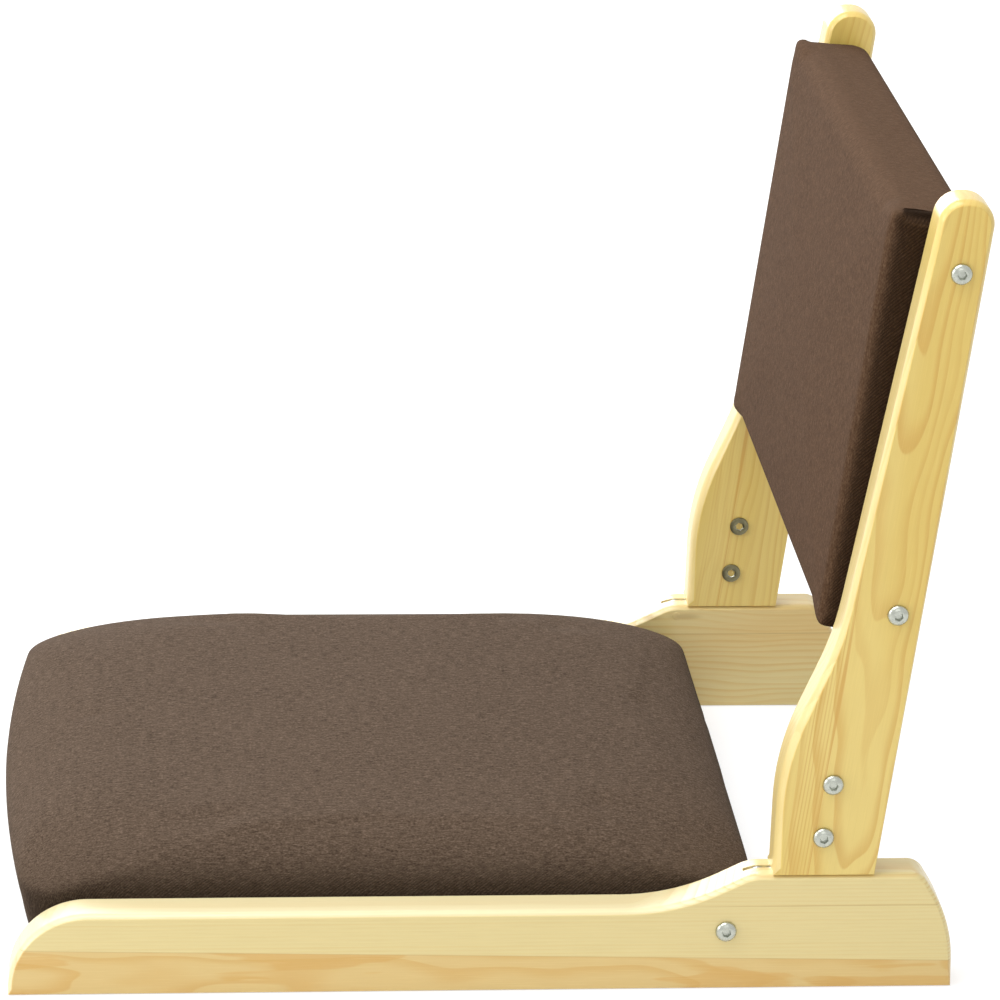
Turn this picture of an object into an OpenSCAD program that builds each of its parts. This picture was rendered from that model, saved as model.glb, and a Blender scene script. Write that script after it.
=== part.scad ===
// Folding floor chair: two pine side rails lie on the floor, two pine uprights stand on their rear
// blocks, and a padded seat and a padded back are bolted between them. The back folds forward onto
// the seat about two pins hidden in the rails, just in front of the uprights.
// X points to the sitter's left, the front of the chair faces -Y and Z is up. The origin is on the
// floor, at the middle of the chair's outline.

/* [Overall] */
// Width over the two side rails
chair_w = 420; // [400:1:480]
// Length of a side rail along the floor
rail_len = 492; // [486:1:520]
// Height of the rounded tops of the uprights above the floor
upright_top_z = 427; // [420:1:450]
// Thickness of the rail and upright boards
board_t = 25; // [23:0.5:28]

/* [Side rails] */
// Height of the rear block that carries an upright
block_h = 63.9; // [61:0.1:68]
// Height of the arm beside the seat
arm_h = 44.4; // [42:0.1:47]
// Radius of the rail's round nose
nose_r = 41; // [30:1:43]
// Distance from the rail's rear end to the top of the slope
slope_top_u = 107; // [105:0.5:110]
// Length of the slope along the floor
slope_run = 39.5; // [36:0.5:46]
// Radius that blends the slope into the arm
slope_foot_r = 112; // [80:1:120]
// Radius that blends the slope into the block's top
slope_top_r = 24; // [15:1:40]
// Height where the rail's rear end starts to lean forward
tail_knee_z = 34.5; // [32:0.5:38]
// Distance by which the block's top is set in from the rail's rear end
tail_lean = 18; // [14:0.5:20]
// Radius of the bend in the rail's rear end
tail_knee_r = 80; // [40:1:82]
// Radius of the block's top rear corner
tail_top_r = 10; // [5:0.5:12]
// Radius of the rail's eased edges
rail_ease = 2.5; // [2:0.25:4]
// Radius of the rail's edges along the floor
floor_ease = 1; // [0.5:0.25:1.5]

/* [Uprights] */
// Angle by which the uprights lean back
lean = 7.05; // [6:0.05:7.5]
// Distance from the rail's rear end to the foot's rear corner
foot_rear_u = 43.5; // [42:0.5:46]
// Length of the foot on the block
foot_len = 52.9; // [50:0.1:53.4]
// Height above the block where the foot starts to narrow
foot_knee_h = 64.3; // [60:0.1:72]
// Distance by which the front edge leans in up to that height
foot_knee_in = 0.9; // [0:0.1:3]
// Height above the block where the narrow part of the upright starts
neck_h = 126.2; // [120:0.1:132]
// Width of the upright where its narrow part starts
neck_w = 40.5; // [38:0.1:44]
// Width of the upright at its top
top_w = 28.3; // [27:0.1:32]
// Radius of the convex bend above the foot
foot_bend_r = 140; // [60:1:145]
// Radius of the concave bend below the narrow part
neck_bend_r = 170; // [100:1:180]
// Radius of the two top corners, which together make the round top
top_r = 13.4; // [10:0.1:13.4]
// Radius of the upright's eased edges
upright_ease = 3; // [2:0.25:5]
// Radius of the foot's eased front edges
foot_ease = 4; // [3:0.25:6]
// Radius of the edges under the foot
sole_ease = 0.5; // [0.25:0.25:1]

/* [Bolts] */
// Nominal diameter of every bolt
bolt_d = 6; // [5:0.5:6.5]
// Diameter of the button heads
head_d = 11; // [10:0.25:12]
// Height of the button heads
head_h = 3.2; // [2.8:0.1:3.6]
// Height of the straight rim of the button heads
head_rim_h = 0.7; // [0.5:0.1:1]
// Size of the hexagon socket across its corners
hex_d = 4.6; // [4:0.1:5]
// Depth of the hexagon socket in a bolt
hex_depth = 2.2; // [1.6:0.1:2.4]
// Distance from the upright's rear edge to the back bolts
back_bolt_in = 13; // [11.8:0.1:13.5]
// Distance from the upright's top end to the upper back bolts
back_bolt_top_in = 39.5; // [36:0.1:50]
// Height of the lower back bolts along the upright
back_bolt_low_w = 143.9; // [143:0.1:160]
// Distance from the upright's rear edge to the hinge bolts
hinge_bolt_in = 30.2; // [28:0.1:32]
// Height of the upper hinge bolts along the upright
hinge_bolt_top_w = 47.7; // [45:0.1:50]
// Height of the lower hinge bolts along the upright
hinge_bolt_low_w = 17.9; // [17:0.1:20]
// Distance from the rail's rear end to the seat bolts
seat_bolt_u = 119.9; // [118:0.2:121]
// Height of the seat bolts above the floor
seat_bolt_z = 32.8; // [31:0.2:34]

/* [Hinge] */
// Distance of the hinge pin in front of the foot
pin_forward = 6.5; // [6.3:0.1:7]
// Depth of the hinge pin below the block's top
pin_drop = 6; // [5.6:0.1:6]
// Diameter of the hinge pin
pin_d = 5; // [4:0.1:5.2]
// Radius of the eye that turns on the hinge pin
eye_r = 5.5; // [5:0.1:5.8]
// Thickness of the steel hinge tongue
tongue_t = 3; // [2.5:0.1:3.5]
// Width of the tongue's plate inside the foot
tongue_w = 26; // [22:0.5:28]
// Distance that the tongue's plate reaches past its bolts
tongue_end = 11; // [9:0.5:12]
// Wood left between the foot's front edge and the tongue
foot_wall = 3; // [2.5:0.1:3.5]
// Length of the sleeve nut's barrel
sleeve_len = 9.8; // [8:0.1:9.8]
// Diameter of the sleeve nut's barrel
sleeve_d = 8.4; // [8:0.1:9]
// Diameter of the sleeve nut's flange
sleeve_flange_d = 11; // [10:0.25:12]
// Thickness of the sleeve nut's flange
sleeve_flange_h = 1.4; // [1:0.1:2]
// Length of the hinge bolts below their heads
hinge_bolt_len = 21; // [20.2:0.1:21.6]
// Length of the pine plug that closes the pin's hole
plug_len = 4; // [3:0.5:5]

/* [Seat] */
// Distance from the rail's rear end to the rear of the seat
seat_rear_u = 100; // [98:0.5:101]
// Distance by which the seat's front stands in front of the rails' noses
seat_overhang = 6.5; // [2:0.5:8]
// Forward bow of the seat's front
seat_bow = 12; // [6:1:14]
// Height of the seat board's top above the floor
seat_board_z = 50; // [48:0.5:52]
// Radius of the seat board's corners, seen from above
seat_board_corner_r = 40; // [38:1:44]
// Thickness of the seat board
seat_board_t = 9; // [8:0.5:10]
// Height of the seat's skirt above the floor at its front and rear
seat_hem_z = 14; // [12:0.5:18]
// Height of the middle of the seat above the floor
seat_crown_z = 75.5; // [74:0.5:76]
// Height of the seat above the floor where its rounded edges end
seat_edge_z = 72; // [70:0.5:73]
// Radius of the seat's corners, seen from above
seat_corner_r = 20; // [16:1:30]
// Growth of those corners' radius from the seat's sides to its top
seat_corner_growth = 64; // [50:2:80]
// Distance by which the seat's front leans in from its shoulder to its hem
seat_tuck = 7; // [4:0.5:8]
// Width of the seat's rounded side edges
seat_side_round = 34; // [28:1:40]
// Width of the seat's rounded front edge
seat_front_round = 62; // [40:1:70]
// Width of the seat's rounded rear edge
seat_rear_round = 44; // [34:1:56]
// Width of the seat beams, front to rear
beam_w = 33; // [28:0.5:34]
// Distance from the rail's front end to the middle of the front beam
front_beam_in = 66; // [60:1:92]
// Distance from the rear beam's rear face to its barrel nuts
barrel_wall = 7.7; // [7:0.1:8]
// Thickness of the foam round the edge of the seat board
seat_lip = 2.6; // [2:0.1:4]
// Diameter of the barrel nuts
barrel_d = 10; // [9:0.5:12]
// Length of the barrel nuts
barrel_len = 14; // [12:0.5:15]
// Distance from the end of the rear beam to its barrel nut
barrel_in = 20; // [18:0.5:25]
// Length of the seat bolts below their heads
seat_bolt_len = 52; // [51:0.5:60]
// Diameter of the dowels
dowel_d = 8; // [6:0.5:9]
// Length of the dowels
dowel_len = 30; // [24:1:34]
// Spacing of the two dowels at each end of the front beam
dowel_gap = 16; // [14:0.5:17]
// Number of screws that hold the seat board to each beam
board_screw_count = 3; // [2:1:5]
// Diameter of the board screws
screw_d = 4; // [3:0.5:4.5]
// Length of the board screws
screw_len = 28; // [22:1:32]
// Diameter of the board screws' heads
screw_head_d = 8; // [7:0.5:9]

/* [Back pad] */
// Height of the pad's lower end along the upright
pad_low_w = 121; // [119:0.5:128]
// Distance from the upright's top end to the pad's upper end
pad_top_in = 17.9; // [16:0.1:33]
// Distance from the upright's rear edge to the rear of the pad
pad_rear_in = 3.2; // [3:0.1:3.5]
// Thickness of the back board
back_board_t = 18; // [17:0.5:19]
// Thickness of the pad where its rounded edges end
pad_edge_t = 45.5; // [40:0.5:50]
// Thickness of the pad in its middle
pad_crown_t = 49; // [43:0.5:54]
// Radius of the pad's corners, seen from the front
pad_corner_r = 14; // [12:1:18]
// Width of the pad's rounded side edges
pad_side_round = 16; // [12:1:20]
// Width of the pad's rounded top and bottom edges
pad_end_round = 15; // [12:1:20]
// Thickness of the foam over the board's top and bottom edges
pad_lip = 10; // [8:0.5:12]
// Radius of the back board's corners, seen from the front
back_board_corner_r = 6; // [5.5:0.25:7]
// Depth of the rebate at the board's ends that takes the fabric
rebate_depth = 3.3; // [3:0.1:4]
// Diameter of the insert nuts
insert_d = 10; // [9:0.25:11]
// Length of the insert nuts
insert_len = 13; // [11:0.5:14]
// Length of the back bolts below their heads
back_bolt_len = 39; // [37:0.5:40]

/* [Fabric and fits] */
// Thickness of the fabric
cover_t = 0.8; // [0.6:0.1:1]
// Gap between the fabric and the foam, and between the fabric and the wood
soft_gap = 0.35; // [0.3:0.05:0.5]
// Radial clearance of the hinge pins in their eyes
pin_fit = 0.05; // [0.02:0.01:0.1]
// Clearance of the tongues in their slots, each side
slot_fit = 0.15; // [0.1:0.05:0.25]
// Radial clearance of bolts and nuts in their holes
hole_fit = 0.15; // [0.1:0.05:0.3]
// Radial clearance between mating threads
thread_fit = 0.04; // [0.02:0.01:0.08]

/* [Hidden] */
$fn = 40;

pine = [0.93, 0.82, 0.55];
pine_plug = [0.90, 0.78, 0.50];
plywood = [0.80, 0.68, 0.48];
steel = [0.78, 0.79, 0.80];
dark_steel = [0.45, 0.46, 0.42];
brown = [0.36, 0.28, 0.24];
foam = [0.92, 0.88, 0.76];

// Overrun of every cut past the face that it leaves by
cut = 1;
// Turn of each facet in a bend of a board's outline
bend_step = 8;
// Turn of each facet of an eased edge
ease_step = 30;

depth = rail_len + seat_overhang;
rear_y = depth / 2;
inner_x = chair_w / 2 - board_t;
mid_x = chair_w / 2 - board_t / 2;

foot_front_u = foot_rear_u + foot_len;
pin_u = foot_front_u + pin_forward;
pin_z = block_h - pin_drop;
slot_t = tongue_t + 2 * slot_fit;
upright_h = upright_top_z - block_h;
upright_len = upright_h / cos(lean);
back_bolt_top_w = upright_len - back_bolt_top_in;
front_beam_u = rail_len - front_beam_in;

seat_rear_y = rear_y - seat_rear_u;
seat_front_y = -rear_y + seat_bow;
seat_half_w = inner_x - soft_gap;
seat_half_l = (seat_rear_y - seat_front_y) / 2;
seat_mid_y = (seat_rear_y + seat_front_y) / 2;
beam_low_z = seat_hem_z;
beam_h = seat_board_z - seat_board_t - beam_low_z;
rear_beam_u = seat_bolt_u - barrel_wall + beam_w / 2;
seat_board_in = cover_t + seat_lip + 2 * soft_gap;
seat_side_drop = seat_board_t - soft_gap;

pad_half_w = inner_x - soft_gap;
pad_half_l = (upright_len - pad_top_in - pad_low_w) / 2;
pad_board_v = back_bolt_in + back_board_t / 2;
pad_edge_rise = pad_rear_in + pad_edge_t - pad_board_v;
pad_crown_rise = pad_rear_in + pad_crown_t - pad_board_v;
pad_rear_drop = pad_board_v - pad_rear_in;
back_board_half_w = inner_x - soft_gap / 2;

// Counts of facets in the soft forms
corner_count = 5;
side_count = 6;
round_count = 5;
crown_shares = [0.8, 0.55, 0.28];
hollow_shares = [1, 0.6];

function unit(v) = v / norm(v);
function turn(v, a) = [v[0] * cos(a) - v[1] * sin(a), v[0] * sin(a) + v[1] * cos(a)];
function mix(a, b, t) = a + (b - a) * t;
function flat(lists) = [for (l = lists) each l];

// Corner of an outline, given as [u, z, bend radius, ease radius], as the points of its bend
function bend(before, corner, after) =
    let (
        p = [corner[0], corner[1]],
        a = unit([before[0], before[1]] - p),
        b = unit([after[0], after[1]] - p),
        half = acos(a * b) / 2,
        reach = corner[2] / tan(half),
        middle = p + unit(a + b) * corner[2] / sin(half),
        first = p + a * reach - middle,
        way = cross(a, b) < 0 ? 1 : -1,
        sweep = 180 - 2 * half,
        steps = max(2, ceil(sweep / bend_step))
    )
    corner[2] == 0
        ? [[p[0], p[1], corner[3]]]
        : [for (i = [0:steps]) let (q = middle + turn(first, way * sweep * i / steps))
            [q[0], q[1], corner[3]]];

function bent(corners) =
    let (n = len(corners))
    flat([for (i = [0:n - 1]) bend(corners[(i + n - 1) % n], corners[i], corners[(i + 1) % n])]);

// Point of an outline that runs clockwise in u and z, moved inward by a share of its ease radius
function moved_in(points, i, share) =
    let (
        n = len(points),
        p = [points[i][0], points[i][1]],
        before = points[(i + n - 1) % n],
        after = points[(i + 1) % n],
        e1 = unit(p - [before[0], before[1]]),
        e2 = unit([after[0], after[1]] - p),
        n1 = [e1[1], -e1[0]],
        n2 = [e2[1], -e2[0]]
    )
    p + (n1 + n2) / (1 + n1 * n2) * points[i][2] * share;

function ease_ring(points, angle, from_x, way) =
    [for (i = [0:len(points) - 1])
        let (q = moved_in(points, i, 1 - sin(angle)))
        [from_x + way * points[i][2] * (1 - cos(angle)), rear_y - q[0], q[1]]];

// Triangles between two rings of n points, and over the stack of rings that they belong to
function band(i, j, n) =
    [for (k = [0:n - 1]) let (m = (k + 1) % n) each [[i + k, i + m, j + m], [i + k, j + m, j + k]]];

// Board with eased edges: an outline in u and z, from_x to from_x + t
module eased_board(points, from_x, t) {
    n = len(points);
    angles = [for (a = [0:ease_step:90]) a];
    back_angles = [for (a = [90:-ease_step:0]) a];
    rings = concat(
        [for (a = angles) ease_ring(points, a, from_x, 1)],
        [for (a = back_angles) ease_ring(points, a, from_x + t, -1)]);
    last = len(rings) - 1;
    faces = concat(
        [[for (k = [0:n - 1]) k]],
        flat([for (r = [0:last - 1]) band((r + 1) * n, r * n, n)]),
        [[for (k = [n - 1:-1:0]) last * n + k]]);
    polyhedron(points = flat(rings), faces = faces, convexity = 6);
}

// Places a child, drawn along +Z, on a line across the chair at u and z, facing outward or inward
module across(u, z, x, way = 1) {
    translate([x, rear_y - u, z])
        rotate([0, 90 * way, 0])
            children();
}

// Point at v in front of the upright's rear edge and w along it, as [u, z]
function on_upright(v, w) =
    [foot_rear_u + v * cos(lean) - w * sin(lean), block_h + v * sin(lean) + w * cos(lean)];

// Places a child in the upright's own directions: X across, Y up along it, Z forward
module along_upright() {
    translate([0, rear_y - foot_rear_u, block_h])
        rotate([90 - lean, 0, 0])
            children();
}

module both_sides() {
    children();
    mirror([1, 0, 0])
        children();
}

// Rails

function rail_outline() = bent([
    [rail_len, 0, 0, floor_ease],
    [0, 0, 0, floor_ease],
    [0, tail_knee_z, tail_knee_r, rail_ease],
    [tail_lean, block_h, tail_top_r, rail_ease],
    [slope_top_u, block_h, slope_top_r, rail_ease],
    [slope_top_u + slope_run, arm_h, slope_foot_r, rail_ease],
    [rail_len, arm_h, nose_r, rail_ease]]);

slit_front_u = pin_u + pin_forward + 1.5;
slit_rear_u = foot_front_u - tongue_w;

module hinge_slit() {
    low_z = pin_z - eye_r - slot_fit * 4;
    round_r = eye_r;
    translate([mid_x - slot_t / 2, 0, 0])
        rotate([90, 0, 90])
            linear_extrude(slot_t) {
                translate([rear_y - slit_front_u, low_z + round_r])
                    square([slit_front_u - slit_rear_u, block_h + cut - low_z - round_r]);
                translate([rear_y - slit_front_u + round_r, low_z])
                    square([slit_front_u - slit_rear_u - 2 * round_r, round_r]);
                for (y = [rear_y - slit_front_u + round_r, rear_y - slit_rear_u - round_r])
                    translate([y, low_z + round_r])
                        circle(round_r);
            }
}

pin_len = board_t - 2 * plug_len;

module rail() {
    difference() {
        eased_board(rail_outline(), inner_x, board_t);
        hinge_slit();
        across(pin_u, pin_z, inner_x - cut)
            cylinder(h = plug_len + pin_len + cut, r = pin_d / 2);
        across(seat_bolt_u, seat_bolt_z, inner_x - cut)
            cylinder(h = board_t + 2 * cut, r = bolt_d / 2 + hole_fit);
        dowel_places()
            cylinder(h = dowel_len, r = dowel_d / 2, center = true);
    }
}

module left_rail() {
    color(pine) rail();
}

module right_rail() {
    color(pine) mirror([1, 0, 0]) rail();
}

// Uprights

function upright_outline() =
    let (
        top_rear = on_upright(0, upright_len),
        rear_top_u = top_rear[0],
        neck_rear_u = foot_rear_u - neck_h * tan(lean)
    )
    bent([
        [foot_front_u, block_h, 0, sole_ease],
        [foot_rear_u, block_h, 0, sole_ease],
        [rear_top_u, upright_top_z, top_r, upright_ease],
        [rear_top_u + top_w, upright_top_z, top_r, upright_ease],
        [neck_rear_u + neck_w, block_h + neck_h, neck_bend_r, upright_ease],
        [foot_front_u - foot_knee_in, block_h + foot_knee_h, foot_bend_r, foot_ease],
        [foot_front_u, block_h + foot_ease, 0, foot_ease]]);

// Outline of the tongue around the pin and the two hinge bolts, in u and z
function tongue_plate(grow) =
    let (
        low = on_upright(hinge_bolt_in, hinge_bolt_low_w),
        half = tongue_w / 2 + grow,
        far = hinge_bolt_top_w + tongue_end + grow,
        a = on_upright(hinge_bolt_in + half, hinge_bolt_low_w),
        b = on_upright(hinge_bolt_in + half, far),
        c = on_upright(hinge_bolt_in - half, far),
        d = on_upright(hinge_bolt_in - half, hinge_bolt_low_w)
    )
    [
        [pin_u, pin_z - eye_r * 0.7],
        [pin_u, pin_z + eye_r * 0.7],
        [foot_front_u - foot_wall + grow, block_h],
        [foot_front_u - foot_wall + grow, block_h + pin_drop],
        a, b, c, d,
        [slit_rear_u + eye_r - grow, block_h]
    ];

// Plate of thickness t round the hinge bolts, which reaches down to the pin
module tongue_plate_solid(t, grow) {
    translate([mid_x - t / 2, 0, 0])
        rotate([90, 0, 90])
            linear_extrude(t)
                polygon([for (p = tongue_plate(grow)) [rear_y - p[0], p[1]]]);
}

hinge_bolt_places = [for (w = [hinge_bolt_low_w, hinge_bolt_top_w]) on_upright(hinge_bolt_in, w)];
back_bolt_places = [for (w = [back_bolt_low_w, back_bolt_top_w]) on_upright(back_bolt_in, w)];

module upright() {
    difference() {
        eased_board(upright_outline(), inner_x, board_t);
        tongue_plate_solid(slot_t, slot_fit * 2);
        for (p = hinge_bolt_places) {
            across(p[0], p[1], inner_x - cut)
                cylinder(h = board_t + 2 * cut, r = bolt_d / 2 + hole_fit);
            across(p[0], p[1], inner_x - cut)
                cylinder(h = sleeve_len + cut, r = sleeve_d / 2 + hole_fit);
        }
        for (p = back_bolt_places)
            across(p[0], p[1], inner_x - cut)
                cylinder(h = board_t + 2 * cut, r = bolt_d / 2 + hole_fit);
    }
}

module left_upright() {
    color(pine) upright();
}

module right_upright() {
    color(pine) mirror([1, 0, 0]) upright();
}

// Hinges

module hinge_tongue() {
    difference() {
        union() {
            tongue_plate_solid(tongue_t, 0);
            across(pin_u, pin_z, mid_x - tongue_t / 2)
                cylinder(h = tongue_t, r = eye_r);
        }
        across(pin_u, pin_z, mid_x - board_t / 2)
            cylinder(h = board_t, r = pin_d / 2 + pin_fit);
        for (p = hinge_bolt_places)
            across(p[0], p[1], mid_x - board_t / 2)
                cylinder(h = board_t, r = bolt_d / 2 + hole_fit);
    }
}

module left_hinge_tongue() {
    color(steel) hinge_tongue();
}

module right_hinge_tongue() {
    color(steel) mirror([1, 0, 0]) hinge_tongue();
}

module hinge_pin() {
    across(pin_u, pin_z, inner_x + plug_len)
        cylinder(h = pin_len, r = pin_d / 2);
}

module left_hinge_pin() {
    color(steel) hinge_pin();
}

module right_hinge_pin() {
    color(steel) mirror([1, 0, 0]) hinge_pin();
}

module hinge_pin_plugs() {
    color(pine_plug) both_sides()
        across(pin_u, pin_z, inner_x)
            cylinder(h = plug_len, r = pin_d / 2);
}

// Bolts and nuts

// Socket button bolt: its head stands on z = 0 and its shank points down
module button_bolt(length) {
    head_r = head_d / 2;
    dome = [for (a = [0:15:90]) [head_r * cos(a), head_rim_h + (head_h - head_rim_h) * sin(a)]];
    difference() {
        union() {
            rotate_extrude()
                polygon(concat([[0, 0], [head_r, 0]], dome));
            translate([0, 0, -length])
                cylinder(h = length + head_rim_h, r = bolt_d / 2 - thread_fit);
        }
        translate([0, 0, head_h - hex_depth])
            cylinder(h = hex_depth + cut, r = hex_d / 2, $fn = 6);
    }
}

// Sleeve nut: its flange stands on z = 0 and its barrel points down
module sleeve_nut() {
    difference() {
        union() {
            cylinder(h = sleeve_flange_h, r = sleeve_flange_d / 2);
            translate([0, 0, -sleeve_len])
                cylinder(h = sleeve_len + sleeve_flange_h / 2, r = sleeve_d / 2);
        }
        translate([0, 0, -sleeve_len - cut])
            cylinder(h = sleeve_len + cut + sleeve_flange_h - hex_depth, r = bolt_d / 2);
        translate([0, 0, sleeve_flange_h - hex_depth])
            cylinder(h = hex_depth + cut, r = hex_d / 2, $fn = 6);
    }
}

module hinge_bolts() {
    color(steel) both_sides()
        for (p = hinge_bolt_places)
            across(p[0], p[1], chair_w / 2)
                button_bolt(hinge_bolt_len);
}

module hinge_sleeve_nuts() {
    color(dark_steel) both_sides()
        for (p = hinge_bolt_places)
            across(p[0], p[1], inner_x, -1)
                sleeve_nut();
}

module back_bolts() {
    color(steel) both_sides()
        for (p = back_bolt_places)
            across(p[0], p[1], chair_w / 2)
                button_bolt(back_bolt_len);
}

module back_insert_nuts() {
    color(dark_steel) both_sides()
        for (p = back_bolt_places)
            across(p[0], p[1], back_board_half_w, -1)
                difference() {
                    cylinder(h = insert_len, r = insert_d / 2);
                    translate([0, 0, -cut])
                        cylinder(h = insert_len + 2 * cut, r = bolt_d / 2);
                }
}

module seat_bolts() {
    color(steel) both_sides()
        across(seat_bolt_u, seat_bolt_z, chair_w / 2)
            button_bolt(seat_bolt_len);
}

module barrel_place() {
    translate([inner_x - barrel_in, rear_y - seat_bolt_u, seat_bolt_z])
        children();
}

module seat_barrel_nuts() {
    color(dark_steel) both_sides()
        difference() {
            barrel_place()
                cylinder(h = barrel_len, r = barrel_d / 2, center = true);
            barrel_place()
                rotate([0, 90, 0])
                    cylinder(h = barrel_d + 2 * cut, r = bolt_d / 2, center = true);
        }
}

// Seat frame

module dowel_places() {
    for (side = [-1, 1])
        across(front_beam_u + side * dowel_gap / 2, beam_low_z + beam_h / 2, inner_x)
            children();
}

module seat_dowels() {
    color(plywood) both_sides()
        dowel_places()
            cylinder(h = dowel_len, r = dowel_d / 2, center = true);
}

module beam(u) {
    translate([-inner_x, rear_y - u - beam_w / 2, beam_low_z])
        cube([2 * inner_x, beam_w, beam_h]);
}

module screw_places(u) {
    reach = seat_half_w - seat_board_in - beam_w;
    for (i = [0:board_screw_count - 1])
        translate([mix(-reach, reach, i / (board_screw_count - 1)), rear_y - u, seat_board_z])
            children();
}

// Countersunk screw: its head is flush with z = 0 and its shank points down
module wood_screw(grow) {
    head_r = screw_head_d / 2;
    shank_r = screw_d / 2;
    rotate_extrude()
        polygon([[0, 0], [head_r + grow, 0], [shank_r + grow, shank_r - head_r],
            [shank_r + grow, -screw_len * 0.8], [0, -screw_len]]);
}

module seat_front_beam() {
    color(pine) difference() {
        beam(front_beam_u);
        both_sides()
            dowel_places()
                cylinder(h = dowel_len, r = dowel_d / 2, center = true);
        screw_places(front_beam_u)
            wood_screw(0);
    }
}

module seat_rear_beam() {
    color(pine) difference() {
        beam(rear_beam_u);
        both_sides() {
            across(seat_bolt_u, seat_bolt_z, chair_w / 2 - seat_bolt_len - cut)
                cylinder(h = seat_bolt_len, r = bolt_d / 2 + hole_fit);
            translate([inner_x - barrel_in, rear_y - seat_bolt_u, beam_low_z - cut])
                cylinder(h = beam_h + 2 * cut, r = barrel_d / 2 + hole_fit);
        }
        screw_places(rear_beam_u)
            wood_screw(0);
    }
}

// Plate of half sizes a and b with rounded corners, below z = 0
module rounded_plate(a, b, r, t) {
    translate([0, 0, -t])
        linear_extrude(t) {
            square([2 * (a - r), 2 * b], center = true);
            square([2 * a, 2 * (b - r)], center = true);
            for (x = [r - a, a - r], y = [r - b, b - r])
                translate([x, y])
                    circle(r);
        }
}

module seat_board() {
    color(plywood) difference() {
        at_seat()
            translate([0, seat_tuck / 2, 0])
                rounded_plate(seat_half_w - seat_board_in, seat_half_l - seat_tuck / 2 - seat_board_in,
                    seat_board_corner_r, seat_board_t);
        screw_places(front_beam_u)
            wood_screw(0);
        screw_places(rear_beam_u)
            wood_screw(0);
    }
}

module seat_board_screws() {
    color(steel) {
        screw_places(front_beam_u)
            wood_screw(0);
        screw_places(rear_beam_u)
            wood_screw(0);
    }
}

// Soft forms

// Share of a corner's turn, which stays 0 beside the beams and then rises quickly to 1 at an end
function end_share(s) = min(1, max(0, (s - 0.6) * corner_count));

// Rounded rectangle of half sizes a and b, as [x, y, share]: share is 0 on the sides that face X
// and 1 on the ends that face Y
function plan(a, b, r) =
    flat([for (q = [0:3])
        let (
            sx = q == 0 || q == 3 ? 1 : -1,
            sy = q < 2 ? 1 : -1,
            middle = [sx * (a - r), sy * (b - r)],
            after = q == 0 ? [-(a - r), b] : q == 1 ? [-a, -(b - r)] : q == 2 ? [a - r, -b] : [a, b - r],
            leave = middle + r * [cos(90 * q + 90), sin(90 * q + 90)]
        )
        concat(
            [for (i = [0:corner_count])
                let (s = i / corner_count, angle = 90 * (q + s))
                [middle[0] + r * cos(angle), middle[1] + r * sin(angle), end_share(q % 2 == 0 ? s : 1 - s)]],
            [for (i = [1:side_count - 1])
                let (p = mix(leave, after, i / side_count))
                [p[0], p[1], q % 2 == 0 ? 1 : 0]])]);

// Ring of points at one level. A bow pushes the end that faces -Y outward at its middle, and a tuck
// pulls that end inward
function ring(a, b, r, side_z, end_z, bow, y0 = 0, tuck = 0) =
    [for (p = plan(a, b, r))
        [p[0], y0 + p[1] + (p[1] < 0 ? tuck * p[2] - bow * (1 - pow(p[0] / a, 2)) : 0),
            mix(side_z, end_z, p[2])]];

// Rings of a crowned form, from its hem over its rounded edges to near its middle.
// form is [half width, half length, corner radius, side round, front round, bow, side hem, end hem,
// shoulder, edge height, crown height, hem round, rear round, corner growth, tuck], and the hems lie
// below its zero level
function crowned(form, shrink) =
    let (
        a = form[0] - shrink,
        b = form[1] - shrink,
        r = form[2] - shrink,
        shoulder = form[8],
        edge = form[9] - shrink,
        crown = form[10] - shrink,
        hem_r = form[11] - shrink,
        hem_angles = form[11] > 0 ? [0, 30, 60, 90] : [90],
        middle_in = (form[4] + form[12]) / 2,
        middle_y = (form[4] - form[12]) / 2,
        grown = r + form[13]
    )
    concat(
        [for (angle = hem_angles)
            let (in_y = hem_r * (1 - sin(angle)), rise = form[11] > 0 ? form[11] - hem_r * cos(angle) : 0)
            ring(a, b - in_y, r - in_y, mix(-form[6], shoulder, rise / 60), rise - form[7], form[5], 0,
                form[14])],
        [ring(a, b, r, mix(-form[6], shoulder, 0.5), mix(form[11] - form[7], shoulder, 0.5), form[5], 0,
            form[14] / 2)],
        [for (i = [0:round_count - 1])
            let (
                angle = 90 * i / (round_count - 1),
                share = 1 - cos(angle),
                z = mix(shoulder, edge, sin(angle))
            )
            ring(a - form[3] * share, b - middle_in * share, mix(r, grown, sin(angle)), z, z, form[5],
                middle_y * share)],
        [for (share = crown_shares)
            let (z = mix(crown, edge, share * share))
            ring((a - form[3]) * share, (b - middle_in) * share, grown * share, z, z,
                form[5] * share, middle_y)]);

// Closed solid between an outer and an inner stack of rings, which both start at the hem and end
// near the middle, where each is closed by one point
module between(outer, inner, outer_z, inner_z) {
    n = len(outer[0]);
    count = len(outer);
    inner_count = len(inner);
    inner_first = count * n;
    total = (count + inner_count) * n;
    points = concat(flat(outer), flat(inner), [[0, 0, outer_z], [0, 0, inner_z]]);
    outer_faces = flat([for (r = [0:count - 2]) band(r * n, (r + 1) * n, n)]);
    inner_faces = flat([for (r = [0:inner_count - 2])
        band(inner_first + (r + 1) * n, inner_first + r * n, n)]);
    hem_faces = band(inner_first, 0, n);
    outer_cap = [for (k = [0:n - 1]) [(count - 1) * n + k, (count - 1) * n + (k + 1) % n, total]];
    inner_cap = [for (k = [0:n - 1])
        [total - n + (k + 1) % n, total - n + k, total + 1]];
    polyhedron(
        points = points,
        faces = [for (f = concat(outer_faces, inner_faces, hem_faces, outer_cap, inner_cap))
            [f[0], f[2], f[1]]],
        convexity = 8);
}

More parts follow.
